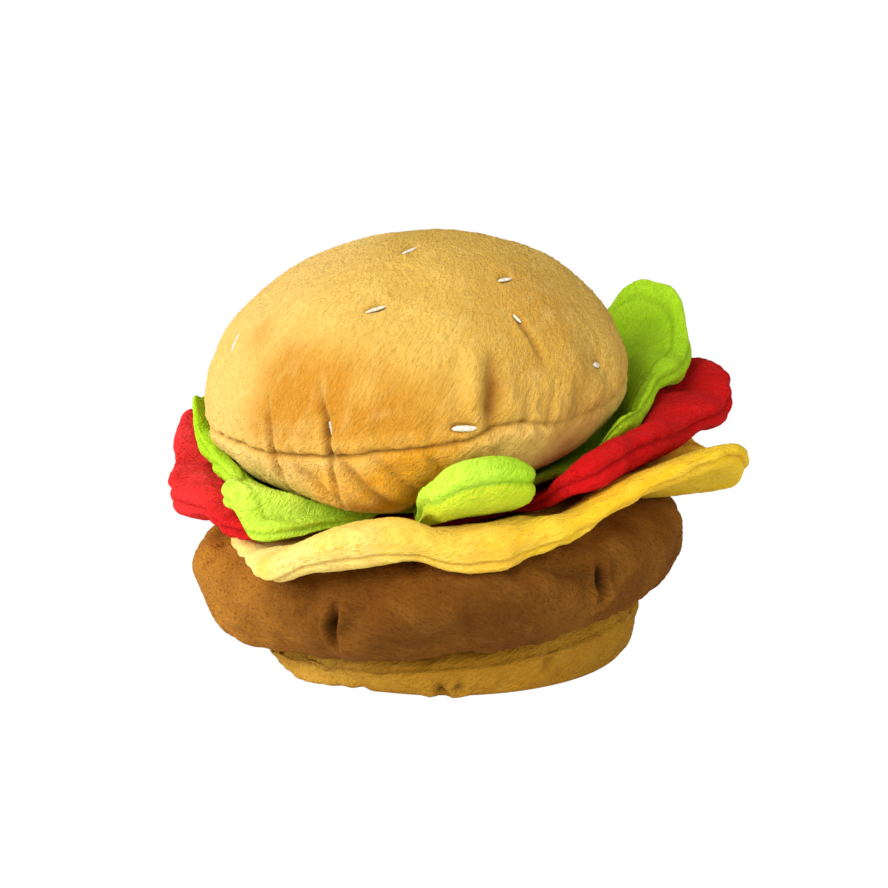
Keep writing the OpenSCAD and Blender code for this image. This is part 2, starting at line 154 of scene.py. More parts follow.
# A groove follows points on the grid nearest to the given ones. Its cross-section is a pressed-in line
# with a swelling on both sides, 2.1 widths out; its depth is interpolated between the points.
def groove(g, points, depths, width, swell=0.3):
    flat = g.reshape(-1, 3)
    path = np.array([flat[np.argmin(((flat - p) ** 2).sum(1))] for p in np.asarray(points, float)])
    distance, where = alongPath(g, path)
    lengths = np.concatenate([[0], np.cumsum(np.linalg.norm(np.diff(path, axis=0), axis=1))])
    depth = np.interp(where, lengths / lengths[-1], depths)
    line = np.exp(-(distance / width) ** 2)
    beside = np.exp(-((distance - 2.1 * width) / (1.1 * width)) ** 2)
    return depth * (swell * beside - line), depth * line


# Presses grooves into out, and adds painted shade to hollow, shade times their depth. A groove is (points,
# width) or (points, width, swell), and its points are (azimuth, angle down or height, depth), placed by at.
def pressGrooves(g, out, hollow, grooves, at, shade):
    for points, width, *swell in grooves:
        moved, depth = groove(g, [at(p[0], p[1]) for p in points], [p[2] for p in points], width, *swell)
        out += moved
        hollow += shade * depth


# Distance of points, seen from above, to the nearest point of a closed rim
def fromRim(x, y, rim):
    out = np.full(x.shape, 1e9)
    for px, py in rim:
        out = np.minimum(out, (x - px) ** 2 + (y - py) ** 2)
    return np.sqrt(out)


# Closed mesh from a grid whose first and last rings are single points. The values become attributes of
# its points: vectors as they are, numbers kept between 0 and 1.
def closedMesh(name, g, **values):
    rings, sectors = g.shape[:2]
    inner = g[1:-1].reshape(-1, 3)
    co = placed(np.concatenate([g[0, :1], inner, g[-1, :1]]))
    j = np.arange(sectors)
    k = (j + 1) % sectors
    base = 1 + np.arange(rings - 3)[:, None] * sectors
    quads = np.stack([base + j, base + sectors + j, base + sectors + k, base + k], -1).reshape(-1, 4)
    last = 1 + (rings - 3) * sectors
    capTop = np.stack([np.zeros_like(j), 1 + j, 1 + k], -1)
    capLow = np.stack([np.full_like(j, len(co) - 1), last + k, last + j], -1)
    loops = np.concatenate([capTop.ravel(), quads.ravel(), capLow.ravel()])
    sizes = np.concatenate([np.full(sectors, 3), np.full(len(quads), 4), np.full(sectors, 3)])
    mesh = bpy.data.meshes.new(name)
    mesh.vertices.add(len(co))
    mesh.vertices.foreach_set("co", co.astype(np.float32).ravel())
    mesh.loops.add(len(loops))
    mesh.loops.foreach_set("vertex_index", loops.astype(np.int32))
    mesh.polygons.add(len(sizes))
    mesh.polygons.foreach_set("loop_start", (np.cumsum(sizes) - sizes).astype(np.int32))
    mesh.polygons.foreach_set("loop_total", sizes.astype(np.int32))
    mesh.update(calc_edges=True)
    mesh.polygons.foreach_set("use_smooth", np.ones(len(sizes), bool))
    for key, v in values.items():
        v = np.concatenate([v[0, :1], v[1:-1].reshape((-1,) + v.shape[2:]), v[-1, :1]])
        if v.ndim == 2:
            attribute = mesh.attributes.new(key, "FLOAT_VECTOR", "POINT")
            attribute.data.foreach_set("vector", v.astype(np.float32).ravel())
        else:
            attribute = mesh.attributes.new(key, "FLOAT", "POINT")
            attribute.data.foreach_set("value", np.clip(v, 0, 1).astype(np.float32))
    return added(name, mesh)


# Points along an upright outline, with the given spacing as a function of the way along it and the radius
def spaced(outline, spacing):
    outline = np.asarray(outline, float)
    s = np.concatenate([[0], np.cumsum(np.linalg.norm(np.diff(outline, axis=0), axis=1))])
    at = [0.0]
    while at[-1] < s[-1]:
        at.append(at[-1] + spacing(at[-1], np.interp(at[-1], s, outline[:, 0])))
    at = np.array(at) * s[-1] / at[-1]
    return np.stack([np.interp(at, s, outline[:, 0]), np.interp(at, s, outline[:, 1])], -1)


# Spacing that is fine towards the edge of a piece and coarse in its middle
def edgeSpacing(piece):
    rings = piece["rings"]
    return lambda s, radius: rings["edge"] if radius > rings["edgeFrom"] else rings["middle"]


# Grid of an outline turned round the axis
def revolved(outline, sectors, centre=(0, 0, 0)):
    a = np.arange(sectors) * 2 * math.pi / sectors
    g = np.stack([outline[:, :1] * np.cos(a), outline[:, :1] * np.sin(a),
                  np.repeat(outline[:, 1:], sectors, 1)], -1)
    return g + np.array(centre)


# Coordinates for the nap: long along the way the pile lies, short across it, in tufts
def napAlong(g, direction, tuft=(2.6, 0.75)):
    d = np.array(direction, float)
    d /= np.linalg.norm(d)
    side = np.cross(d, [0.31, -0.87, 0.38])
    side /= np.linalg.norm(side)
    up = np.cross(d, side)
    return np.stack([g @ d / tuft[0], g @ side / tuft[1], g @ up / tuft[1]], -1)


# Height of the pile over nap coordinates, and the gaps between its tufts: coarse and fine noise less the
# gaps, with a grain of its own at each point
def pile(nap, seed):
    coarse = noise(nap * 0.42 + 7, seed)
    fine = noise(nap, seed + 1)
    gaps = np.maximum(0, noise(nap * 0.8 + 3, seed + 2) - 0.2)
    grain = np.random.default_rng(seed).uniform(-0.4, 0.4, nap.shape[:2])
    return 0.5 * coarse + 0.6 * fine - 1.3 * gaps + grain, gaps


# The cloth is simulated on a model ten times the real size, where the solver's usual stiffness suits it
cloth = {"scale": 0.01, "frames": 20, "pressure": 2.5, "oversize": 0.07, "quality": 6, "stretch": 15,
         "shear": 5, "bend": 0.3, "damping": 4}


# How far stuffing and spare cloth push each point of a closed grid outward, in millimetres. A coarse copy
# of the grid, every few rings and sectors, is simulated with the firm places held. The swelling that a
# whole ring shares is left out, since the outline has it already, and the rest is capped at most.
def puffed(g, firm, every, most):
    rings, sectors = g.shape[:2]
    rows = np.unique(np.concatenate([np.arange(0, rings - 1, every[0]), [rings - 1]]))
    columns = np.arange(0, sectors, every[1])
    trial = closedMesh("clothTrial", g[rows][:, columns])
    mesh = trial.data
    start = np.empty(len(mesh.vertices) * 3)
    mesh.vertices.foreach_get("co", start)
    start *= cloth["scale"] / mm
    mesh.vertices.foreach_set("co", start)
    held = firm[rows][:, columns]
    held = np.concatenate([held[0, :1], held[1:-1].ravel(), held[-1, :1]])
    group = trial.vertex_groups.new(name="held")
    for i in np.flatnonzero(held > 0.01):
        group.add([int(i)], float(held[i]), "REPLACE")
    modifier = trial.modifiers.new("cloth", "CLOTH")
    settings = modifier.settings
    settings.quality = cloth["quality"]
    settings.tension_stiffness = settings.compression_stiffness = cloth["stretch"]
    settings.shear_stiffness = cloth["shear"]
    settings.bending_stiffness = cloth["bend"]
    settings.air_damping = cloth["damping"]
    settings.use_pressure = True
    settings.uniform_pressure_force = cloth["pressure"]
    settings.shrink_min = -cloth["oversize"]
    settings.vertex_group_mass = "held"
    settings.effector_weights.gravity = 0
    modifier.collision_settings.use_collision = False
    modifier.point_cache.frame_start = 1
    modifier.point_cache.frame_end = cloth["frames"]
    for step in range(1, cloth["frames"] + 1):
        scene.frame_set(step)
    shaped = trial.evaluated_get(bpy.context.evaluated_depsgraph_get())
    end = np.empty(len(start))
    shaped.data.vertices.foreach_get("co", end)
    normal = np.empty(len(start))
    mesh.vertex_normals.foreach_get("vector", normal)
    out = ((end - start).reshape(-1, 3) * normal.reshape(-1, 3)).sum(1) / cloth["scale"]
    bpy.data.objects.remove(trial)
    scene.frame_set(1)
    push = np.concatenate([np.full((1, len(columns)), out[0]), out[1:-1].reshape(len(rows) - 2, -1),
                           np.full((1, len(columns)), out[-1])])
    push -= push.mean(1, keepdims=True)
    push = most * np.tanh(push / most)
    # spread to the fine grid and smoothed over the coarse cells
    push = np.stack([np.interp(np.arange(rings), rows, c) for c in push.T], -1)
    wrapped = np.concatenate([push, push[:, :1]], 1)
    at = np.append(columns, sectors)
    push = np.stack([np.interp(np.arange(sectors), at, row) for row in wrapped])
    for _ in range(every[1]):
        push = 0.5 * push + 0.25 * (np.roll(push, 1, 1) + np.roll(push, -1, 1))
        push[1:-1] = 0.5 * push[1:-1] + 0.25 * (push[2:] + push[:-2])
    print(f"cloth simulated: {len(out)} points pushed {push.min():.2f} to {push.max():.2f} mm")
    return push


def socket(node, name, value):
    node.inputs[name].default_value = value


# New material, with its nodes, its links and its shader
def newMaterial(name):
    material = bpy.data.materials.new(name)
    material.use_nodes = True
    nodes, links = material.node_tree.nodes, material.node_tree.links
    return material, nodes, links, nodes["Principled BSDF"]


# Colours spread over a value: the stops are (position, colour)
def shades(nodes, links, value, stops):
    n = nodes.new("ShaderNodeValToRGB")
    for element, (position, colour) in zip(n.color_ramp.elements, stops):
        element.position = position
        element.color = (*colour, 1)
    links.new(value, n.inputs["Fac"])
    return n.outputs["Color"]


# What all the plush shares. A layer of colour is its driver, the range over which that is read, the
# strengths at both ends of the range, and the colour of the look that it brings. The last layer is painted
# shade: the dark colour laid into grooves, seams, folds, seed dips and the gaps between tufts.
finish = {"roughness": 0.92, "specular": 0.1, "sheenRoughness": 0.38, "bump": 0.9, "bumpDistance": 0.0014,
          "fuzzHeight": 0.45, "tuftScale": 1.15, "strokeScale": 0.16, "fuzzScale": 2600,
          "patches": (0.42, 0.64, 0, 0.4),
          "layers": [("strokes", 0.48, 0.72, 0, 0.25, "light"), ("tufts", 0.28, 0.5, 0.62, 0, "deep"),
                     ("fuzz", 0.5, 0.8, 0, 0.25, "light"), ("hollow", 0, 1, 0, 0.85, "dark")]}


# Plush: colour from brushed patches, strokes and tufts, with painted highlight, painted reflected light, a
# deeper tone that is partly painted light and shade, and painted shade in hollows; bump from tufts and fine
# fuzz
def plush(name, look):
    material, nodes, links, shader = newMaterial(name)
    socket(shader, "Roughness", finish["roughness"])
    socket(shader, "Specular IOR Level", finish["specular"])
    socket(shader, "Sheen Weight", look["sheen"])
    socket(shader, "Sheen Roughness", finish["sheenRoughness"])
    socket(shader, "Sheen Tint", (*look["light"], 1))
    place = nodes.new("ShaderNodeTexCoord").outputs["Object"]

    def attribute(key, output):
        n = nodes.new("ShaderNodeAttribute")
        n.attribute_name = key
        return n.outputs[output]

    def noiseNode(vector, scale, detail, roughness=0.55, distortion=0.0):
        n = nodes.new("ShaderNodeTexNoise")
        socket(n, "Scale", scale)
        socket(n, "Detail", detail)
        socket(n, "Roughness", roughness)
        socket(n, "Distortion", distortion)
        links.new(vector, n.inputs["Vector"])
        return n.outputs["Fac"]

    def remap(value, low, high, toLow, toHigh):
        n = nodes.new("ShaderNodeMapRange")
        for key, v in (("From Min", low), ("From Max", high), ("To Min", toLow), ("To Max", toHigh)):
            socket(n, key, v)
        links.new(value, n.inputs["Value"])
        return n.outputs["Result"]

    def mix(factor, a, b):
        n = nodes.new("ShaderNodeMix")
        n.data_type = "RGBA"
        links.new(factor, n.inputs[0])
        for key, v in ((6, a), (7, b)):
            if isinstance(v, tuple):
                n.inputs[key].default_value = (*v, 1)
            else:
                links.new(v, n.inputs[key])
        return n.outputs[2]

    nap = attribute("nap", "Vector")
    drivers = {"tufts": noiseNode(nap, finish["tuftScale"], 2.0),
               "fuzz": noiseNode(place, finish["fuzzScale"], 2.0, 0.6),
               "strokes": noiseNode(nap, finish["strokeScale"], 2.0, 0.5, 0.6),
               "hollow": attribute("hollow", "Fac")}
    patches = noiseNode(place, look["patch"], 1.5, 0.5, 0.3)
    colour = mix(remap(patches, *finish["patches"]), look["base"], look["deep"])
    # painted highlight, painted reflected light, and the deeper tone with its painted light and shade
    for key in ("pale", "ripe", "warm"):
        if key in look:
            colour = mix(attribute(key, "Fac"), colour, look[key])
    for driver, low, high, atLow, atHigh, shade in finish["layers"]:
        colour = mix(remap(drivers[driver], low, high, atLow, atHigh), colour, look[shade])
    links.new(colour, shader.inputs["Base Color"])
    height = nodes.new("ShaderNodeMath")
    height.operation = "MULTIPLY_ADD"
    links.new(drivers["fuzz"], height.inputs[0])
    height.inputs[1].default_value = finish["fuzzHeight"]
    links.new(drivers["tufts"], height.inputs[2])
    relief = nodes.new("ShaderNodeBump")
    socket(relief, "Strength", finish["bump"])
    socket(relief, "Distance", finish["bumpDistance"])
    links.new(height.outputs[0], relief.inputs["Height"])
    links.new(relief.outputs["Normal"], shader.inputs["Normal"])
    return material


# Top bun. Lumps are (height, cell) of coarse and fine unevenness, puff is the most that the cloth simulation
# may add. Fill and sag are (height, azimuth, half width) below the seam. Every mark lies at an azimuth and
# an angle down from the top: grooves are listed as pressGrooves reads them, mounds are (azimuth, down,
# height, size), and the warm and ripe patches are (azimuth, down, strength, size). Warm is a deeper tone,
# partly brushed nap and partly painted shade on the crown's front right and in its deep fold; ripe is
# painted orange reflected light under the front. Held are the seeds near the seam, whose stitches hold the
# cloth.
bun = {
    "radius": 58.0, "crown": 43.0, "under": 27.0, "seat": 24.6, "fullness": 2.2, "flatTo": 16.0,
    "blend": 18.0, "centre": (-2.8, -1.0, 73.9), "sectors": 720,
    "lumps": ((0.9, 21.0), (0.35, 9.0)), "puff": 1.5, "fill": (1.2, -100, 60), "sag": (3.6, -110, 17),
    "seam": {"height": 0.1, "dip": 5.2, "lowest": -100, "wiggles": [(0.25, 7, 20), (0.15, 17, 0)],
             "tucks": [(2.6, -66, 9), (-4.0, -28, 26)], "depth": 1.3, "width": 0.7, "swell": 0.45,
             "loose": (-38, 24), "gather": 0.3, "tighter": [(0.25, -62, 11), (0.2, -110, 14)]},
    "rings": {"pole": 0.9, "poleTo": 8, "skin": 0.52, "skinTo": 125, "seat": 2.0}, "freeOver": 14,
    "nap": (0.62, 0.3, 0.72), "pile": 0.3,
    "held": [(-53, 58), (-29, 82), (-77.5, 92.5), (-112, 88), (50, 80), (140, 78)],
    "grooves": [
        ([(-130, 74, 0.0), (-129, 81, 0.7), (-129, 90, 1.2), (-129, 97, 1.5), (-129, 108, 1.1),
          (-132, 124, 0.4)], 0.9),
        ([(-114, 70, 0.0), (-113, 78, 0.9), (-112, 85, 1.5), (-112, 92, 1.8), (-112, 101, 1.8),
          (-113, 114, 1.3), (-115, 128, 0.5)], 0.9),
        ([(-145, 79, 0.0), (-142, 88, 0.4), (-140, 95, 0.8), (-139, 104, 0.3)], 0.9),
        ([(-65, 66, 0.2), (-67.5, 73, 1.5), (-69, 80, 2.4), (-70.5, 87, 2.2), (-71, 93, 1.2)], 2.2),
        ([(-52.5, 60, 1.0), (-52, 65, 1.1), (-51, 71, 0.9), (-50, 78, 0.2)], 1.0),
        ([(-58, 80, 0.1), (-59.5, 86, 0.4), (-61, 92, 0.7), (-62, 97, 0.7)], 1.2),
        ([(-50, 82, 0.1), (-52, 88, 0.5), (-53, 93, 0.7), (-54, 99, 0.7)], 1.1),
        ([(-42, 84, 0.1), (-44, 90, 0.5), (-46, 97, 0.5)], 1.3),
        ([(-110, 98, 0.6), (-107, 110, 1.4), (-102, 124, 1.3), (-98, 136, 0.4)], 1.7),
        ([(-101, 98, 0.4), (-98, 109, 1.0), (-93, 122, 0.9), (-89, 132, 0.2)], 1.6),
        ([(-123, 98, 0.4), (-121, 108, 0.9), (-116, 122, 0.6)], 1.6),
        ([(-88, 101, 0.3), (-86, 108, 0.6), (-82, 118, 0.4)], 0.9),
        ([(-34, 74, 0.1), (-37, 83, 0.4), (-41, 92, 0.6), (-43, 99, 0.6)], 2.6),
        ([(-25, 84, 0.1), (-29, 93, 0.5), (-34, 102, 0.6)], 1.8)],
    "mounds": [
        (-60, 78, -0.7, 6.0), (-155, 46, -0.9, 5.5), (-122, 68, -1.2, 6.0), (-132, 60, -0.5, 7.0),
        (-58, 50, -0.7, 7.0), (-50, 80, -0.8, 8.0), (-73, 70, 0.5, 5.0), (-76, 80, 0.8, 4.5),
        (-77, 90, 0.7, 4.5), (-65, 82, 0.5, 2.6), (-65.5, 88, 0.5, 2.6), (-120, 88, 0.5, 6),
        (-80, 108, 0.6, 6)],
    "warm": [
        (-120, 78, 0.9, 14), (-98, 84, 0.8, 13), (-140, 56, 0.5, 6), (-122, 66, 0.6, 8), (-84, 90, 0.5, 12),
        (-108, 72, 0.5, 9), (-130, 88, 0.6, 9), (-46, 72, 0.42, 20), (-30, 50, 0.3, 16), (-69, 86, 0.7, 5),
        (60, 70, 0.5, 20), (150, 75, 0.6, 18)],
    "ripe": [(-98, 116, 1.0, 12), (-88, 126, 1.0, 13), (-114, 120, 0.6, 9), (-84, 108, 0.5, 9)],
    "look": {"base": (0.80, 0.50, 0.095), "deep": (0.62, 0.31, 0.03), "light": (0.92, 0.69, 0.23),
             "dark": (0.26, 0.10, 0.01), "warm": (0.58, 0.235, 0.014), "pale": (0.98, 0.68, 0.24),
             "ripe": (1.0, 0.45, 0.010), "patch": 30, "sheen": 0.35}}

# Sesame seeds of satin stitches. A place is (azimuth, angle down from the top, turn, length, width).
seeds = {
    "stitch": 0.3, "thread": 0.2, "crown": 0.26, "sunk": 0.8, "slant": 0.35, "stray": 0.02,
    "places": [
        (-81, 20, 122, 5.2, 1.0), (-47, 43.5, 84, 4.4, 1.1), (-99, 47, 106, 5.2, 1.1),
        (-53, 58, 14, 2.6, 0.9), (-29, 82, 66, 3.0, 1.6), (-77.5, 92.5, 80, 6.0, 1.6),
        (-112, 88, 6, 4.2, 0.7), (-156, 60, 15, 5.0, 1.0), (20, 30, 40, 5, 1.4), (115, 34, -20, 5, 1.4),
        (75, 58, 80, 5, 1.4), (12, 60, 60, 5, 1.4), (160, 50, 30, 5, 1.4), (50, 80, 20, 5, 1.4),
        (100, 82, 75, 5, 1.4), (140, 78, 95, 5, 1.4)],
    "look": {"roughness": 0.45, "sheen": 0.25, "spots": 900,
             "stops": [(0.3, (0.62, 0.52, 0.34)), (0.6, (0.93, 0.89, 0.76))]}}
seedLift = []  # how far the cloth stands out at each seed, noted while the bun is made


# Outline from the top of the crown to the middle of the seat: a quarter of an ellipse above the widest
# line, a fuller bowl below it that blends into the flat seat
def bunOutline():
    t = np.linspace(0, math.pi / 2, 240)
    crown = np.stack([bun["radius"] * np.sin(t), bun["crown"] * np.cos(t)], -1)
    r = bun["radius"] * np.cos(t[1:])
    r = r[r > bun["flatTo"]]
    bowl = bun["under"] * np.maximum(1 - (r / bun["radius"]) ** bun["fullness"], 0) ** (1 / bun["fullness"])
    under = -(bun["seat"] + (bowl - bun["seat"]) * ramp((r - bun["flatTo"]) / bun["blend"]))
    seat = np.array([[bun["flatTo"], -bun["seat"]], [0, -bun["seat"]]])
    return np.concatenate([crown, np.stack([r, under], -1), seat])


# Point of the bun by azimuth and by the angle down from the top, over 90 below the widest line
def bunPoint(azimuth, down):
    a, d = math.radians(azimuth), math.radians(down)
    z = bun["crown"] * math.cos(d) if down <= 90 else bun["under"] * math.cos(d)
    r = bun["radius"] * math.sin(d)
    return np.array([r * math.cos(a), r * math.sin(a), z]) + bun["centre"]


# Round spot on the bun, 1 at its middle and fading out over its size
def bunSpot(g, azimuth, down, size):
    return np.exp(-(np.linalg.norm(g - bunPoint(azimuth, down), axis=-1) / size) ** 2)


# Height of the seam over the widest line: a cosine dip towards the front, with sine wiggles and two tucks
def seamHeight(a):
    seam = bun["seam"]
    height = seam["height"] - seam["dip"] * np.cos(np.radians(a - seam["lowest"]))
    height = height + sum(h * np.sin(np.radians(a * turns + start)) for h, turns, start in seam["wiggles"])
    for h, azimuth, width in seam["tucks"]:
        height = height + h * bump(a, azimuth, width)
    return height


# Middle, lengthwise direction, crosswise direction and normal of a seed: its length is turned from the
# downhill direction on the crown's ellipsoid
def seedFrame(s):
    a, d = math.radians(s[0]), math.radians(s[1])
    middle = bunPoint(s[0], s[1])
    normal = np.array([math.sin(d) * math.cos(a) / bun["radius"], math.sin(d) * math.sin(a) / bun["radius"],
                       math.cos(d) / bun["crown"]])
    normal /= np.linalg.norm(normal)
    across = np.array([-math.sin(a), math.cos(a), 0])
    downward = np.cross(across, normal)
    turn = math.radians(s[2])
    lengthwise = downward * math.cos(turn) + across * math.sin(turn)
    return middle, lengthwise, np.cross(normal, lengthwise), normal


# The outline turned round, then moved along its normals by uneven filling, puffed cloth, grooves, mounds,
# the seam with its gathers, the dips under the seeds and the pile
def buildBun():
    rings = bun["rings"]
    outline = spaced(bunOutline(), lambda s, r: rings["pole"] if s < rings["poleTo"] else
                     rings["skin"] if s < rings["skinTo"] else rings["seat"])
    g = revolved(outline, bun["sectors"], bun["centre"])
    a = np.degrees(np.arctan2(g[..., 1] - bun["centre"][1], g[..., 0] - bun["centre"][0]))
    z = g[..., 2] - bun["centre"][2]
    n = gridNormals(g)
    hollow = np.zeros(g.shape[:2])
    # the seat is pressed flat on the lettuce
    fromAxis = np.hypot(g[..., 0], g[..., 1])
    free = np.where(z > 0, 1.0, ramp((fromAxis - bun["flatTo"]) / bun["freeOver"]))
    out = free * lumps(g, bun["lumps"], 11)
    off = z - seamHeight(a)
    firm = np.maximum(1 - free, np.exp(-(off / 1.2) ** 2) * (np.abs(off) < 2.2))
    for place in bun["held"]:
        firm = np.maximum(firm, np.linalg.norm(g - bunPoint(*place), axis=-1) < 2.2)
    lively = free * (0.3 + 0.7 * np.exp(-((off - 2) / 19) ** 2))
    out = puffed(g + n * out[..., None], firm, (4, 4), bun["puff"]) * lively + out
    out += bun["sag"][0] * bump(a, *bun["sag"][1:]) * ramp((-z - 6) / 12) * free
    out += bun["fill"][0] * ramp(-z / 6) * ramp((26 + z) / 10) * bump(a, *bun["fill"][1:])
    # the grooves press in, with painted shade along them
    pressGrooves(g, out, hollow, bun["grooves"], bunPoint, 0.45)
    for azimuth, down, height, size in bun["mounds"]:
        out += height * bunSpot(g, azimuth, down, size)
    # the seam is a pulled-in line with swellings beside it and gathers across it, loose at the right
    seam = bun["seam"]
    tight = 1 - 0.7 * bump(a, *seam["loose"])
    beside = np.exp(-((np.abs(off) - 2.6) / 1.9) ** 2)
    out += tight * (-seam["depth"] * np.exp(-(off / seam["width"]) ** 2) + seam["swell"] * beside)
    # painted shade along the seam line and in the folds of its gathers
    hollow += 0.9 * tight * np.exp(-(off / 0.45) ** 2)
    folds = gathers(a, off, 3.1, 21, 0.35, 0.04) + 0.7 * gathers(a, off, 1.7, 22, 0.3)
    reach = np.where(off < 0, 6.5, 3.2)
    strength = seam["gather"]
    for more, azimuth, width in seam["tighter"]:
        strength = strength + more * bump(a, azimuth, width)
    out += strength * folds * np.exp(-np.abs(off) / reach) * np.where(np.abs(off) < 0.5, 0.5, 1)
    hollow += 0.16 * np.maximum(0, -folds) * np.exp(-np.abs(off) / 2.5)
    # a deeper tone of brushed nap with painted shade on the crown's front right and in its deep fold, and
    # painted orange reflected light under the front
    uneven = 0.85 + 0.5 * noise(g / 7.0, 23)
    warm, ripe = [uneven * sum(strength * bunSpot(g, azimuth, down, size)
                               for azimuth, down, strength, size in bun[key]) for key in ("warm", "ripe")]
    # painted highlight: paler below the seam, most at the front left, and above it at the left, where the
    # lamps from the left fall
    pale = (0.2 + 0.6 * bump(a, -125, 48)) * ramp(-off / 1.5) + 0.5 * ramp(off / 2) * bump(a, -165, 50)
    for s in seeds["places"]:
        middle, lengthwise, across, normal = seedFrame(s)
        seedLift.append(float(out.flat[np.argmin(((g - middle) ** 2).sum(-1))]))
        half = lengthwise * (s[3] / 2 - 0.8)
        distance, _ = alongPath(g, np.array([middle - half, middle + half]))
        dip = np.exp(-(distance / (0.5 + 0.5 * s[4])) ** 4)
        out -= 0.9 * dip + 0.3 * np.exp(-(distance / 3.2) ** 2)
        # painted shade in the dip under the stitches, and a painted shadow along their upper side
        slit = np.linalg.norm(g - middle - 0.6 * s[4] * across * math.copysign(1, across[2]), axis=-1)
        hollow += 0.5 * dip + 0.3 * np.exp(-(slit / (s[3] * 0.4)) ** 4)
    nap = napAlong(g, bun["nap"])
    height, gaps = pile(nap, 31)
    fromPole = np.hypot(g[..., 0] - bun["centre"][0], g[..., 1] - bun["centre"][1])
    out += bun["pile"] * height * free * ramp(fromPole / 16) * (1 - 0.4 * ramp(-z / 8))
    # painted shade between the tufts
    hollow += 0.12 * gaps
    return closedMesh("bunShell", pushed(g, n, out), nap=nap, hollow=hollow, warm=warm, ripe=ripe, pale=pale)


bunShell = buildBun()
bunShell.data.materials.append(plush("crownPlush", bun["look"]))
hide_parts("bun_crown", "bun_underside", "bun_stuffing")
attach(bunShell, "top_bun")
print("stage: bun made")

# Heights of the layers along the lean, the gap between two of them, the radius of the middle, where the
# rounds take up the grip, and the radius to which the layers are flat
levels = {"middle": 12.0, "flatTo": 14.0, "grip": 2.0, "gap": 0.8, "pattyLow": 16.2, "pattyBulge": 29.2,
          "pattySeat": 31.7, "cheeseLow": 33.7, "tomatoLow": 38.9, "lettuceLow": 44.1}

# Patty. The swell at the left is (height, azimuth, half width); grooves and held tucks lie at an azimuth
# and a height.
patty = {
    "radius": 67.5, "shift": -1.5, "shoulderUp": 11.0, "rimDown": 15.5, "dimple": 8.5, "shoulder": 48.0,
    "rim": 56.0, "sectors": 760, "lumps": ((1.1, 19.0), (0.5, 8.0)), "puff": 1.6, "swell": (2.3, 176, 34),
    "gather": 0.5, "seamDepth": 1.2, "nap": (0.85, -0.1, -0.5), "pile": 0.22, "freeFrom": 44, "freeOver": 14,
    "rings": {"edge": 0.55, "edgeFrom": 47, "middle": 2.2},
    "held": [(-114.5, 25), (-51, 27.5), (40, 27), (130, 25)],
    "grooves": [
        ([(-112.5, 33.5, 0.4), (-113.4, 29.5, 2.0), (-114.4, 26, 4.0), (-114.6, 23, 3.6),
          (-114.5, 19, 0.6)], 1.1, 0.55),
        ([(-50.8, 33, 0.6), (-51, 30.5, 3.4), (-51, 27.6, 4.4), (-50.4, 24, 2.6),
          (-51, 20.5, 0.6)], 1.1, 0.5),
        ([(-66, 39.5, 0.4), (-61, 36.5, 1.8), (-57, 31, 2.2), (-53, 28, 1.2)], 3.2, 0.4),
        ([(-150, 38, 0.2), (-146, 32, 0.8), (-141, 26, 0.5), (-138, 20, 0.2)], 3.0, 0.2),
        ([(-104, 34, 0.2), (-108, 30, 1.0), (-112, 26, 1.2)], 2.6, 0.4),
        ([(-123, 33, 0.2), (-120, 29, 0.9), (-117, 25, 1.1)], 2.4, 0.5),
        ([(-84, 22, 0.3), (-92, 19, 0.9), (-104, 18, 0.6)], 3.0, 0.2),
        ([(-40, 34, 0.2), (-44, 31, 0.8), (-49, 29, 0.8)], 2.6, 0.4),
        ([(-160, 27, 0.1), (-156, 23, 0.9), (-150, 20, 0.7), (-144, 18, 0.2)], 2.0, 0.3)],
    "look": {"base": (0.20, 0.068, 0.006), "deep": (0.115, 0.034, 0.003), "light": (0.40, 0.17, 0.025),
             "dark": (0.02, 0.006, 0.001), "warm": (0.50, 0.205, 0.024), "patch": 40, "sheen": 0.2}}


# Clearance under a layer at radius r: the grip of the rounds in the middle, the thin gap outside it
def seatGap(r):
    return levels["gap"] + (levels["grip"] - levels["gap"]) * (1 - ramp((r - levels["middle"]) / 6))


# Height of the patty's top at radius r: a dimple up to the shoulder, then a quarter of an ellipse
def pattyTop(r):
    flat = levels["flatTo"]
    inner = levels["pattySeat"] + patty["dimple"] * ramp((r - flat) / (patty["shoulder"] - flat))
    v = np.clip((r - patty["shoulder"]) / (patty["radius"] - patty["shoulder"]), 0, 1)
    return np.where(r <= patty["shoulder"], inner,
                    levels["pattyBulge"] + patty["shoulderUp"] * np.sqrt(1 - v * v))


# Height of the patty's underside at radius r: lowest at its rim seam, raised in the middle
def pattyUnder(r):
    rim, flat = levels["pattyBulge"] - patty["rimDown"], levels["flatTo"]
    return rim + (levels["pattyLow"] - rim) * (1 - ramp((r - flat) / (patty["rim"] - flat)))


# Point on the patty's side by azimuth and height
def pattyPoint(azimuth, height, radius=66.0):
    a = math.radians(azimuth)
    return np.array([radius * math.cos(a) + patty["shift"], radius * math.sin(a), height])


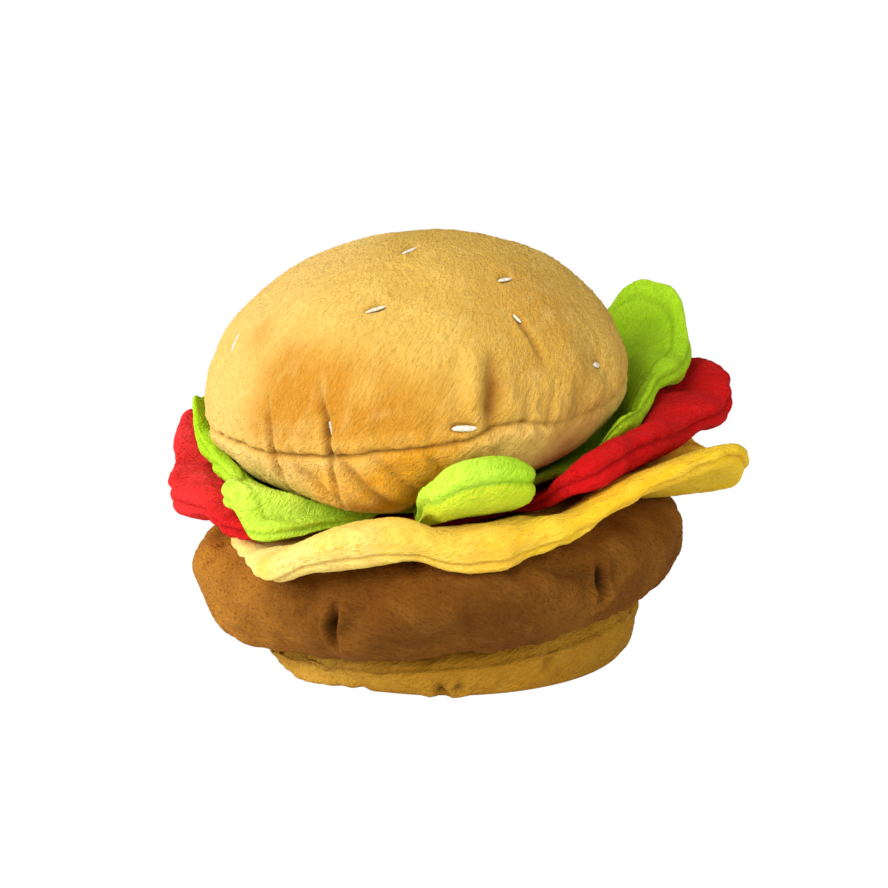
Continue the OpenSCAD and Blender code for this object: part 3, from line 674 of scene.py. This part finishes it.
# Top, shoulder, side and underside turned round, then moved along the normals by uneven filling, puffed
# cloth, the swell at the left, grooves, the gathered base seam and the pile
def buildPatty():
    r = np.linspace(0, patty["shoulder"], 120)
    t = np.linspace(0, math.pi / 2, 80)
    top = np.stack([r, pattyTop(r)], -1)
    shoulder = np.stack([patty["shoulder"] + (patty["radius"] - patty["shoulder"]) * np.sin(t),
                         levels["pattyBulge"] + patty["shoulderUp"] * np.cos(t)], -1)
    side = np.stack([patty["rim"] + (patty["radius"] - patty["rim"]) * np.cos(t),
                     levels["pattyBulge"] - patty["rimDown"] * np.sin(t)], -1)
    r = np.linspace(patty["rim"], 0, 100)
    under = np.stack([r, pattyUnder(r)], -1)
    outline = np.concatenate([top, shoulder[1:], side[1:], under[1:]])
    outline = spaced(outline, edgeSpacing(patty))
    g = revolved(outline, patty["sectors"], (patty["shift"], 0, 0))
    a = np.degrees(np.arctan2(g[..., 1], g[..., 0] - patty["shift"]))
    z = g[..., 2]
    radius = np.hypot(g[..., 0] - patty["shift"], g[..., 1])
    n = gridNormals(g)
    free = ramp((radius - patty["freeFrom"]) / patty["freeOver"])
    out = free * lumps(g, patty["lumps"], 41)
    off = radius - patty["rim"]
    low = z < levels["pattyBulge"] - 9
    firm = np.maximum(1 - free, np.exp(-(off / 1.2) ** 2) * low)
    for place in patty["held"]:
        firm = np.maximum(firm, np.linalg.norm(g - pattyPoint(*place), axis=-1) < 3.4)
    out += puffed(g + n * out[..., None], firm, (4, 4), patty["puff"]) * free
    height, azimuth, width = patty["swell"]
    out += height * bump(a, azimuth, width) * np.exp(-((z - 34.5) / 5.0) ** 2) * ramp((radius - 59) / 4)
    hollow = np.zeros(g.shape[:2])
    # the grooves and tucks press in, with painted shade along them
    pressGrooves(g, out, hollow, patty["grooves"], pattyPoint, 0.2)
    # the base panel is gathered into its seam
    folds = patty["gather"] * gathers(a, off, 2.6, 43) * np.exp(-np.abs(off) / 4.5)
    out += np.where(low, folds - patty["seamDepth"] * np.exp(-(off / 0.9) ** 2), 0)
    # painted shade along the base seam
    hollow += np.where(low, 0.7 * np.exp(-(off / 0.6) ** 2), 0)
    # painted shade: darker low on the front, and under the cheese's edge at the front right
    hollow += 0.28 * bump(a, -84, 30) * np.exp(-((z - 24) / 7) ** 2) * (radius > 50)
    hollow += 0.15 * bump(a, -66, 16) * np.exp(-((z - 31) / 5) ** 2)
    # lighter tone at the left: brushed nap, with painted light where the lamps from the left fall
    warm = 0.9 * bump(a, -168, 34) + 0.35 * np.maximum(0, noise(g / 11.0, 45))
    nap = napAlong(g, patty["nap"], (2.0, 0.8))
    height, gaps = pile(nap, 44)
    out += patty["pile"] * height * free
    # painted shade between the tufts
    hollow += 0.08 * gaps
    return closedMesh("pattyShell", pushed(g, n, out), nap=nap, hollow=hollow, warm=warm)


pattyShell = buildPatty()
pattyShell.data.materials.append(plush("pattyPlush", patty["look"]))
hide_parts("patty_top_panel", "patty_base_panel", "patty_stuffing")
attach(pattyShell, "patty")
print("stage: patty made")

# Bottom bun. The sag of its foot is (height, azimuth, half width); grooves lie at an azimuth and a height.
heel = {
    "radius": 52.0, "base": 48.0, "bulge": 8.0, "seam": 8.6, "shoulder": 7.0, "sectors": 640,
    "lumps": ((0.8, 17.0), (0.4, 7.0)), "puff": 1.0, "sag": (4.0, -152, 24), "gather": 0.45,
    "nap": (0.8, 0.1, 0.5), "pile": 0.2, "freeFrom": 40, "freeOver": 8,
    "rings": {"edge": 0.55, "edgeFrom": 40, "middle": 2.4},
    "grooves": [([(-147, 5, 0.3), (-142, 3, 3.2), (-138, 1.5, 3.6)], 1.6),
                ([(-134, 6, 0.2), (-133, 3, 2.6), (-133, 1, 3.0)], 1.4),
                ([(-95, 7, 0.1), (-94.5, 4, 1.2), (-94.5, 1, 2.6)], 1.5),
                ([(-88, 6, 0.1), (-90, 2, 1.6)], 1.2),
                ([(-60, 7, 0.2), (-62, 2, 1.0)], 1.4),
                ([(-118, 8, 0.2), (-120, 3, 0.9)], 1.6)],
    "look": {"base": (0.50, 0.24, 0.016), "deep": (0.34, 0.14, 0.008), "light": (0.66, 0.40, 0.06),
             "dark": (0.04, 0.014, 0.001), "warm": (0.62, 0.34, 0.045), "patch": 45, "sheen": 0.2}}


# Height of the bottom bun's top at radius r: the patty's underside less the clearance
def heelTop(r):
    return pattyUnder(np.abs(r - patty["shift"])) - seatGap(r)


# Point on the bottom bun's side by azimuth and height over the table, which the lean raises at the right
def heelPoint(azimuth, height, radius=51):
    a = math.radians(azimuth)
    return radius * math.cos(a), radius * math.sin(a), height + 5 * math.cos(a)


# Top, shoulder and side turned round. The base stands upright and the top leans with the stack: a point
# moves from one to the other with its height. Then filling, cloth, sag, grooves, gathers and pile.
def buildHeel():
    t = np.linspace(0, math.pi / 2, 60)
    start = heel["radius"] - 1 - heel["shoulder"]
    r = np.linspace(0, start, 60)
    crown = np.stack([r, heelTop(r)], -1)
    shoulder = np.stack([start + heel["shoulder"] * np.sin(t),
                         heel["seam"] + (float(heelTop(start)) - heel["seam"]) * np.cos(t)], -1)
    side = np.stack([heel["base"] + (heel["radius"] - heel["base"]) * np.cos(t),
                     heel["bulge"] * (1 - np.sin(t))], -1)
    outline = np.concatenate([crown, shoulder[1:], side, [[0, 0]]])
    outline = spaced(outline, edgeSpacing(heel))
    g = revolved(outline, heel["sectors"])
    c, s = math.cos(lean["angle"]), math.sin(lean["angle"])
    upright = 1 - ramp((g[..., 2] - 3) / 6.5)
    # the same point in a frame that stands upright at the base
    x, z = g[..., 0] - lean["shift"], g[..., 2]
    level = np.stack([x * c + z * s, g[..., 1], -x * s + z * c], -1)
    g = g * (1 - upright[..., None]) + level * upright[..., None]
    a = np.degrees(np.arctan2(g[..., 1], g[..., 0]))
    radius = np.hypot(g[..., 0], g[..., 1])
    overTable = placed(g)[..., 2] / mm
    n = gridNormals(g)
    # the foot is pressed flat on the table
    free = ramp((radius - heel["freeFrom"]) / heel["freeOver"]) * ramp((overTable - 0.2) / 2.5)
    out = free * lumps(g, heel["lumps"], 51)
    out += puffed(g + n * out[..., None], 1 - free, (4, 4), heel["puff"]) * free
    height, azimuth, width = heel["sag"]
    out += height * bump(a, azimuth, width) * free * (1 - ramp((g[..., 2] - 4) / 6))
    hollow = np.zeros(g.shape[:2])
    # the grooves press in, with painted shade along them
    pressGrooves(g, out, hollow, heel["grooves"], heelPoint, 0.3)
    out += heel["gather"] * gathers(a, radius, 3.2, 53) * np.exp(-np.abs(overTable - 1) / 3.0) * free
    nap = napAlong(g, heel["nap"], (2.2, 0.8))
    height, gaps = pile(nap, 54)
    out += heel["pile"] * height * free
    # painted shade between the tufts
    hollow += 0.08 * gaps
    g = pushed(g, n, out)
    # the base rests flat: what came below it is lifted back, straight up in the row
    sunk = np.maximum(-placed(g)[..., 2] / mm, 0)
    g = g + sunk[..., None] * np.array([s, 0, c])
    # lighter tone: painted light at the front left, where the lamps from the left fall, and uneven patches
    warm = 0.8 * bump(a, -150, 30) + 0.3 * np.maximum(0, noise(g / 10.0, 55))
    return closedMesh("heelShell", g, nap=nap, hollow=hollow, warm=warm)


heelShell = buildHeel()
heelShell.data.materials.append(plush("heelPlush", heel["look"]))
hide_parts("heel_side_panel", "heel_top_panel", "heel_stuffing")
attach(heelShell, "heel")
print("stage: bottom bun made")

# Thin slices. Thick is the pressed middle, which grows to the plump edge from press over puff; the rim rounds
# down over its last part. The coarse core starts that far in from the edge.
slices = {"thick": 3.2, "span": 54.0, "press": 46.0, "puff": 19.0, "rim": 6.5, "roundness": 2.4, "core": 22,
          "sectors": 720, "pile": 0.19, "freeFrom": 44, "freeOver": 8, "dishOver": 38}

# A lobe is [azimuth, half width, reach, lift, extra plumpness, curl], in the terms of the solids, and may end
# with a sharpness of its own. Bare, pale and warm are (azimuth, half width, strength), and warm also has its
# side, 1 above and -1 below. Bare marks cloth that bulges, pale is painted highlight on the side that the
# lamps light, and warm is a deeper tone, which under the lettuce's front lobe is painted shade with painted
# orange reflected light. The rim seam lies seamDrop under half the thickness and is pulled in by pinch.
# Stitched is the way in from the rim to a second line of stitching on the upper side, ripples are (height,
# count, start) of a wavy edge, and wave and cloth are how far filling and cloth may add.
cheese = {
    "low": levels["cheeseLow"], "plump": 8.0, "dish": 5.0, "half": 67.0, "turn": 14.0,
    "centre": (6.5, 4.0), "corner": 7, "seed": 61, "nap": (0.9, 0.3, 0.2), "wave": 0.6, "cloth": 0.7,
    "pinch": 0.9, "stitched": 0.0, "seamDrop": 2.4, "bare": (-100, 45, 1.3), "pale": [(-155, 62, 1.0)],
    "warm": [(-97, 5, 0.45, 1), (-78, 9, 0.35, 1)],
    "lobes": [[-36, 20, 0, 8, -2.5, 2], [2, 18, 0, -1, 5, 2], [-127, 20, 0, 0.5, -3, 2],
              [-105, 15, 0.5, 3.4, 2.2, 2], [-79, 14, 2.5, -2, 1.5, 2], [75, 30, 0, 2, 0, 2]],
    "look": {"base": (1.0, 0.65, 0.022), "deep": (0.92, 0.44, 0.008), "light": (1.0, 0.80, 0.16),
             "dark": (0.50, 0.20, 0.004), "pale": (1.0, 0.80, 0.28), "warm": (1.0, 0.52, 0.05), "patch": 35,
             "sheen": 0.25}}
tomato = {
    "low": levels["tomatoLow"], "plump": 9.0, "dish": 4.0, "radius": 64.0, "ripples": (1.2, 3, 20),
    "rimGap": 0.9, "rimGapFrom": 50, "rimGapOver": 10, "seed": 71, "nap": (0.9, 0.2, 0.35), "wave": 0.6,
    "cloth": 0.7, "pinch": 0.9, "stitched": 0.0, "seamDrop": 0.0, "bare": (-20, 30, 0.5),
    "pale": [(176, 34, 0.9)], "warm": [],
    "lobes": [[24, 30, 24, 7.5, 1, 2], [177, 30, 11, 5, 0, 4], [150, 18, 4, 6, 0, 5], [95, 26, 6, 4, 0, 3],
              [-103, 27, -36, 1, -4.5, 2, 5], [-69, 10, -22, 0, 0, 2], [-141, 12, 3, -1, -3, 2],
              [-38, 22, 6, 1, 0.5, 2]],
    "look": {"base": (0.66, 0.006, 0.006), "deep": (0.40, 0.002, 0.003), "light": (0.92, 0.03, 0.03),
             "dark": (0.08, 0.001, 0.001), "pale": (0.95, 0.05, 0.05), "patch": 35, "sheen": 0.3}}
lettuce = {
    "low": levels["lettuceLow"], "plump": 8.0, "dish": 1.5, "radius": 59.0, "ripples": (0, 0, 0),
    "rimClear": 1.5, "rimFall": 5.0, "leafGap": 1.1, "leafGapFrom": 24, "leafGapOver": 16, "seed": 81,
    "nap": (0.7, 0.3, 0.6), "wave": 0.5, "cloth": 0.35, "pinch": 0.7, "stitched": 4.6, "seamDrop": 0.0,
    "bare": (-80, 20, 0.8), "pale": [(-136, 14, 0.8), (-86, 14, 0.5)], "warm": [(-82, 18, 0.8, -1)],
    "lobes": [[33, 29, 24, 12.2, 0, 4], [-78, 17, 10, 7, 5, 3], [-60, 6.5, -5, 8, -3, 2],
              [-47, 13, -18, 0, 0, 2], [-109, 14, -31, -12, -2, 2, 3.5], [-126, 9, 0, -5, -1.5, 2],
              [-135, 11.5, 11, -2, 0, 4, 3.6], [-158, 13, 3, 20, -2, 6], [168, 16, 7, 31, -4.5, 7],
              [128, 15, 11, 15, -1, 6], [88, 20, 15, 19, -1, 4]],
    "look": {"base": (0.46, 0.80, 0.018), "deep": (0.30, 0.60, 0.006), "light": (0.66, 0.95, 0.06),
             "dark": (0.06, 0.13, 0.002), "pale": (0.74, 0.98, 0.12), "warm": (0.62, 0.60, 0.015),
             "patch": 40, "sheen": 0.3}}


# How much of a lobe there is at azimuth a, from 0 to 1
def lobeShape(lobe, a):
    return bump(a, *lobe[:2], *lobe[6:])


# Sum of what the lobes give at azimuth a, where k picks reach, lift or extra plumpness
def lobeSum(lobes, a, k):
    return sum(l[k] * lobeShape(l, a) for l in lobes)


# Radius of a slice's edge: round ones from the radius and the lobes' reach. The cheese's rounded square
# about its own centre is found along each azimuth by halving, then its lobes' reach is added.
def sliceEdge(piece, a):
    if "half" not in piece:
        height, count, start = piece["ripples"]
        ripples = height * np.cos(np.radians(count * a + start))
        return piece["radius"] + lobeSum(piece["lobes"], a, 2) + ripples
    near, far = np.zeros_like(a), np.full_like(a, 2 * piece["half"])
    for _ in range(30):
        r = (near + far) / 2
        x = r * np.cos(np.radians(a)) - piece["centre"][0]
        y = r * np.sin(np.radians(a)) - piece["centre"][1]
        u = np.arctan2(y, x) - math.radians(piece["turn"])
        d = np.hypot(x, y) / piece["half"]
        inside = np.abs(d * np.cos(u)) ** piece["corner"] + np.abs(d * np.sin(u)) ** piece["corner"] < 1
        near, far = np.where(inside, r, near), np.where(inside, far, r)
    return near + lobeSum(piece["lobes"], a, 2)


# Share of the way out from the middle, over which the lobes rise
def spread(r):
    return np.maximum(r - levels["flatTo"], 0) / slices["span"]


# Upright thickness without the rounded rim: pressed in the middle, plump at the edge, and more where the
# lobes make it steep, so that the thickness across the cloth stays
def fullThick(piece, a, r):
    plumper = piece["plump"] + lobeSum(piece["lobes"], a, 4)
    slope = sum(l[3] * lobeShape(l, a) * l[5] * spread(r) ** (l[5] - 1) / slices["span"]
                for l in piece["lobes"])
    across = slices["thick"] + (plumper - slices["thick"]) * ramp((r - slices["press"]) / slices["puff"])
    return across * np.sqrt(1 + slope * slope)


# Height of the lower side: the slice's own dish and lobes, or a clearance above what lies under it. The
# lettuce falls from the tomato to the cheese near the tomato's edge.
def sliceBed(piece, a, r):
    own = piece["low"] + piece["dish"] * ramp((r - levels["middle"]) / slices["dishOver"])
    own = own + sum(l[3] * lobeShape(l, a) * spread(r) ** l[5] for l in piece["lobes"])
    if piece is cheese:
        x, y = r * np.cos(np.radians(a)), r * np.sin(np.radians(a))
        floor = pattyTop(np.hypot(x - patty["shift"], y))
    elif piece is tomato:
        outer = ramp((r - tomato["rimGapFrom"]) / tomato["rimGapOver"])
        floor = sliceBed(cheese, a, r) + fullThick(cheese, a, r) + tomato["rimGap"] * outer
    else:
        floor = sliceBed(cheese, a, r) + fullThick(cheese, a, r)
        high = sliceBed(tomato, a, r) + fullThick(tomato, a, r)
        over = (sliceEdge(tomato, a) - r + lettuce["rimClear"]) / lettuce["rimFall"] + 1
        floor = floor + (high - floor) * ramp(over)
        floor = floor + lettuce["leafGap"] * ramp((r - lettuce["leafGapFrom"]) / lettuce["leafGapOver"])
    return np.maximum(floor + seatGap(r), own)


# A slice is a pillow: bed plus half the thickness is its middle surface, and from there both sides stand
# off by half the thickness, rounded down to the rim. They are moved along the normals by filling, cloth,
# ripples near the rim, the bare bulge, the seams and the pile.
def buildSlice(name, piece):
    seed, rim, core, sectors = piece["seed"], slices["rim"], slices["core"], slices["sectors"]
    a = np.arange(sectors) * 360.0 / sectors
    around = np.stack([np.cos(np.radians(a)) * 9, np.sin(np.radians(a)) * 9, a * 0], -1)
    edge = sliceEdge(piece, a) + 0.35 * noise(around, seed)
    # distance in from the edge, fine near it; the middle is coarse
    rounded = rim * (1 - np.cos(np.linspace(0, math.pi / 2, 18)))
    steps = np.concatenate([rounded, np.arange(rim + 0.6, core, 0.62)])
    share = np.linspace(0, 1, 14)[1:]
    top = np.concatenate([np.repeat(steps[:, None], sectors, 1), core + (edge[None] - core) * share[:, None]])
    r = np.maximum(edge[None] - top, 0)
    r = r * (r > 1e-6)
    az = np.repeat(a[None], len(r), 0)
    full = fullThick(piece, az, r)
    middle = sliceBed(piece, az, r) + full / 2
    x, y = r * np.cos(np.radians(az)), r * np.sin(np.radians(az))
    # the way in is measured to the nearest point of the rim, so lobes are round at their ends too
    fromEdge = np.minimum(fromRim(x, y, np.stack([x[0], y[0]], -1)), top)
    power = slices["roundness"]
    half = full / 2 * (1 - (1 - np.clip(fromEdge / rim, 0, 1)) ** power) ** (1 / power)
    g = np.concatenate([np.stack([x, y, middle + half], -1)[::-1], np.stack([x, y, middle - half], -1)[1:]])
    inside = np.concatenate([fromEdge[::-1], fromEdge[1:]])
    side = np.concatenate([np.ones_like(top), -np.ones_like(top[1:])])
    # distance from the rim seam along the surface
    away = np.concatenate([half[::-1], half[1:]]) + 0.4 * inside
    az = np.concatenate([az[::-1], az[1:]])
    n = gridNormals(g)
    radius = np.hypot(g[..., 0], g[..., 1])
    free = ramp((radius - slices["freeFrom"]) / slices["freeOver"])
    out = free * lumps(g, ((piece["wave"], 16.0), (0.3, 7.0)), seed + 1)
    firm = np.maximum(1 - free, np.exp(-(away / 1.2) ** 2))
    out += puffed(g + n * out[..., None], firm, (3, 5), piece["cloth"]) * free
    ring = np.stack([np.cos(np.radians(az)), np.sin(np.radians(az)), az * 0], -1)
    ripple = noise(ring * 13 + inside[..., None] * 0.03, seed + 3) + 0.5 * noise(ring * 27, seed + 5)
    out += 0.45 * ripple * np.exp(-inside / 3.5) * free
    azimuth, width, height = piece["bare"]
    bulge = bump(az, azimuth, width) * height * ramp((radius - 50) / 8)
    out += bulge * (side > 0) * np.clip(away / 1.5, 0, 1)
    seamed = np.abs(away * side + piece["seamDrop"])
    pinch = piece["pinch"]
    beside = np.exp(-((seamed - 2.2) / 1.3) ** 2)
    out += free * (0.35 * pinch * beside - pinch * np.exp(-(seamed / 0.75) ** 2))
    # painted shade in the rim seam
    hollow = 0.5 * min(pinch, 1) * np.exp(-(seamed / 0.5) ** 2)
    if piece["stitched"]:
        line = (inside - piece["stitched"] - 0.25 * ripple) * (side > 0) + 9 * (side < 0)
        out += free * (0.25 * np.exp(-((line + 1.4) / 0.9) ** 2) - 0.55 * np.exp(-(line / 0.55) ** 2))
        # painted shade in the line of stitching
        hollow += 0.3 * np.exp(-(line / 0.4) ** 2)
    nap = napAlong(g, piece["nap"], (2.4, 0.8))
    height, gaps = pile(nap, seed + 4)
    out += slices["pile"] * height * free * np.clip(inside / 1.0, 0.3, 1)
    # painted shade between the tufts
    hollow += 0.1 * gaps
    g = pushed(g, n, out)
    # painted highlight on the lit side, and a deeper tone that under the lettuce's front lobe is painted
    # shade with orange reflected light
    uneven = 0.85 + 0.4 * noise(g / 9.0, seed + 6)
    pale = sum(q[2] * bump(az, q[0], q[1]) for q in piece["pale"]) * uneven
    warm = sum(q[2] * bump(az, q[0], q[1]) * (side * q[3] > 0) for q in piece["warm"]) * uneven
    return closedMesh(name, g, nap=nap, hollow=hollow, pale=pale, warm=warm)


cheeseSlice = buildSlice("cheeseSlice", cheese)
cheeseSlice.data.materials.append(plush("cheesePlush", cheese["look"]))
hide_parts("cheese_upper_sheet", "cheese_lower_sheet", "cheese_wadding")
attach(cheeseSlice, "cheese")

tomatoSlice = buildSlice("tomatoSlice", tomato)
tomatoSlice.data.materials.append(plush("tomatoPlush", tomato["look"]))
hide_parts("tomato_upper_sheet", "tomato_lower_sheet", "tomato_wadding")
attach(tomatoSlice, "tomato")

lettuceSlice = buildSlice("lettuceSlice", lettuce)
lettuceSlice.data.materials.append(plush("lettucePlush", lettuce["look"]))
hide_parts("lettuce_upper_sheet", "lettuce_lower_sheet", "lettuce_wadding")
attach(lettuceSlice, "lettuce")
print("stage: slices made")


# Threads round paths of equally many points: a ring of sides stands across each point, narrower at the
# ends of the path, and both ends are closed
def tubes(name, paths, radius, sides=6):
    along = np.gradient(paths, axis=1)
    along /= np.maximum(np.linalg.norm(along, axis=-1, keepdims=True), 1e-9)
    side = np.cross(along, [0.3, 0.2, 0.93])
    side /= np.maximum(np.linalg.norm(side, axis=-1, keepdims=True), 1e-9)
    up = np.cross(side, along)
    count, steps = paths.shape[:2]
    thickness = np.full(steps, radius)
    thickness[[0, -1]] *= 0.55
    w = (2 * math.pi * np.arange(sides) / sides)[:, None]
    ring = np.cos(w) * side[:, :, None] + np.sin(w) * up[:, :, None]
    verts = paths[:, :, None] + thickness[:, None, None] * ring
    k = np.arange(sides)
    k = np.stack([k, (k + 1) % sides, (k + 1) % sides + sides, k + sides], -1)
    base = np.arange(count)[:, None] * steps * sides
    quads = k + (base + np.arange(steps - 1) * sides)[..., None, None]
    caps = np.concatenate([base + np.arange(sides)[::-1], base + (steps - 1) * sides + np.arange(sides)])
    mesh = bpy.data.meshes.new(name)
    mesh.from_pydata(placed(verts.reshape(-1, 3)).tolist(), [], quads.reshape(-1, 4).tolist() + caps.tolist())
    mesh.polygons.foreach_set("use_smooth", np.ones(len(mesh.polygons), bool))
    mesh.update()
    return added(name, mesh)


# Satin stitches across each seed: u runs along the seed and v across it. Their length follows a rounded
# oval in u, and their height a half circle in v, lower at the seed's ends.
def seedPaths():
    rng = np.random.default_rng(5)
    v = np.linspace(-1, 1, 7)
    paths = []
    for s, lift in zip(seeds["places"], seedLift):
        middle, lengthwise, across, normal = seedFrame(s)
        count = int(s[3] / seeds["stitch"])
        u = ((np.arange(count) + 0.5) / count * 2 - 1)[:, None]
        width = s[4] * np.sqrt(np.maximum(1 - np.abs(u) ** 2.6, 0.08))
        height = seeds["crown"] * s[4] * np.sqrt(1 - v * v) * np.sqrt(np.maximum(1 - np.abs(u) ** 3, 0.1))
        height = height - seeds["sunk"] + lift
        height = height + rng.normal(0, seeds["stray"], height.shape)
        paths.append(middle + lengthwise * (u * s[3] / 2 + seeds["slant"] * v)[..., None]
                     + across * (v * width / 2)[..., None] + normal * height[..., None])
    return np.concatenate(paths)


# Cream thread, lighter and darker in fine spots
def threadMaterial():
    material, nodes, links, shader = newMaterial("seedThread")
    look = seeds["look"]
    socket(shader, "Roughness", look["roughness"])
    socket(shader, "Sheen Weight", look["sheen"])
    place = nodes.new("ShaderNodeTexCoord")
    spots = nodes.new("ShaderNodeTexNoise")
    socket(spots, "Scale", look["spots"])
    links.new(place.outputs["Object"], spots.inputs["Vector"])
    links.new(shades(nodes, links, spots.outputs["Fac"], look["stops"]), shader.inputs["Base Color"])
    return material


seedStitches = tubes("seedStitches", seedPaths(), seeds["thread"])
seedStitches.data.materials.append(threadMaterial())
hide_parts("sesame_seeds")
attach(seedStitches, "top_bun")
print("stage: seeds made")

# Hook-and-loop rounds: the solids keep their shape. The colour is that of the layer, with painted shade
# in the depths of the weave, and hooks stand coarser than loops.
tapes = {
    "colours": {"heel": (0.40, 0.22, 0.06), "patty": (0.16, 0.07, 0.015), "cheese": (0.85, 0.60, 0.14),
                "tomato": (0.50, 0.02, 0.02), "lettuce": (0.30, 0.50, 0.03), "bun": (0.62, 0.38, 0.12)},
    "weaves": {"hook": 900, "loop": 1500}, "depth": 0.55, "roughness": 0.8, "specular": 0.2, "sheen": 0.12,
    "bump": 0.8, "bumpDistance": 0.0005}


# Rows of small cells, raised in their middles, with painted shade towards their edges
def tapeMaterial(name, colour, scale):
    material, nodes, links, shader = newMaterial(name)
    socket(shader, "Roughness", tapes["roughness"])
    socket(shader, "Sheen Weight", tapes["sheen"])
    socket(shader, "Sheen Tint", (*colour, 1))
    socket(shader, "Specular IOR Level", tapes["specular"])
    place = nodes.new("ShaderNodeTexCoord")
    cells = nodes.new("ShaderNodeTexVoronoi")
    socket(cells, "Scale", scale)
    links.new(place.outputs["Object"], cells.inputs["Vector"])
    stops = [(0, colour), (1, tuple(c * tapes["depth"] for c in colour))]
    links.new(shades(nodes, links, cells.outputs["Distance"], stops), shader.inputs["Base Color"])
    relief = nodes.new("ShaderNodeBump")
    socket(relief, "Strength", tapes["bump"])
    socket(relief, "Distance", tapes["bumpDistance"])
    relief.invert = True
    links.new(cells.outputs["Distance"], relief.inputs["Height"])
    links.new(relief.outputs["Normal"], shader.inputs["Normal"])
    return material


for layer, colour in tapes["colours"].items():
    for kind, scale in tapes["weaves"].items():
        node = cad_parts.get(f"{layer}_{kind}_round")
        if node:
            node.data.materials.clear()
            node.data.materials.append(tapeMaterial(f"{layer}{kind.capitalize()}Tape", colour, scale))
print("stage: rounds dressed")

# The floor lies just under the base, so that the two don't share a plane
floorShape = {"half": 3.0, "level": -0.0006, "colour": (0.86, 0.86, 0.85, 1), "roughness": 0.9}


# White to the camera, pale and matt to every other ray
def floorMaterial():
    material, nodes, links, shader = newMaterial("paleFloor")
    socket(shader, "Base Color", floorShape["colour"])
    socket(shader, "Roughness", floorShape["roughness"])
    glow = nodes.new("ShaderNodeEmission")
    rays = nodes.new("ShaderNodeLightPath")
    blend = nodes.new("ShaderNodeMixShader")
    links.new(rays.outputs["Is Camera Ray"], blend.inputs[0])
    links.new(shader.outputs[0], blend.inputs[1])
    links.new(glow.outputs[0], blend.inputs[2])
    links.new(blend.outputs[0], nodes["Material Output"].inputs["Surface"])
    return material


floorMesh = bpy.data.meshes.new("floor")
half, level = floorShape["half"], floorShape["level"]
corners = [(-half, -half, level), (half, -half, level), (half, half, level), (-half, half, level)]
floorMesh.from_pydata(corners, [], [(0, 1, 2, 3)])
floor = added("floor", floorMesh)
floorMesh.materials.append(floorMaterial())

# The surroundings are white to the camera and a soft grey light to the object
surroundings = {"light": 0.36, "colour": (1, 1, 1, 1)}
world = bpy.data.worlds.new("world")
scene.world = world
world.use_nodes = True
worldNodes, worldLinks = world.node_tree.nodes, world.node_tree.links
ambient = worldNodes["Background"]
socket(ambient, "Color", surroundings["colour"])
socket(ambient, "Strength", surroundings["light"])
white = worldNodes.new("ShaderNodeBackground")
socket(white, "Color", surroundings["colour"])
seen = worldNodes.new("ShaderNodeLightPath")
choose = worldNodes.new("ShaderNodeMixShader")
worldLinks.new(seen.outputs["Is Camera Ray"], choose.inputs[0])
worldLinks.new(ambient.outputs[0], choose.inputs[1])
worldLinks.new(white.outputs[0], choose.inputs[2])
worldLinks.new(choose.outputs[0], worldNodes["World Output"].inputs["Surface"])

# Four area lamps, all aimed at the middle of the stack
lampAim = Vector((0, 0, 0.06))
lamps = {
    "key": {"place": (-0.42, -0.62, 0.50), "size": 0.5, "power": 6.6, "colour": (1.0, 0.98, 0.94)},
    "side": {"place": (-0.75, -0.05, 0.30), "size": 0.4, "power": 3.2, "colour": (1.0, 0.98, 0.95)},
    "fill": {"place": (0.35, -0.8, 0.12), "size": 0.8, "power": 1.7, "colour": (1.0, 0.99, 0.97)},
    "right": {"place": (0.60, -0.50, 0.30), "size": 0.4, "power": 1.6, "colour": (1.0, 0.99, 0.97)}}
for name, spec in lamps.items():
    data = bpy.data.lights.new(name, "AREA")
    data.size = spec["size"]
    data.energy = spec["power"]
    data.color = spec["colour"]
    lamp = added(name, data)
    lamp.location = spec["place"]
    lamp.rotation_euler = (lampAim - Vector(spec["place"])).to_track_quat("-Z", "Y").to_euler()
scene.view_settings.view_transform = "Standard"
print("stage: light set")
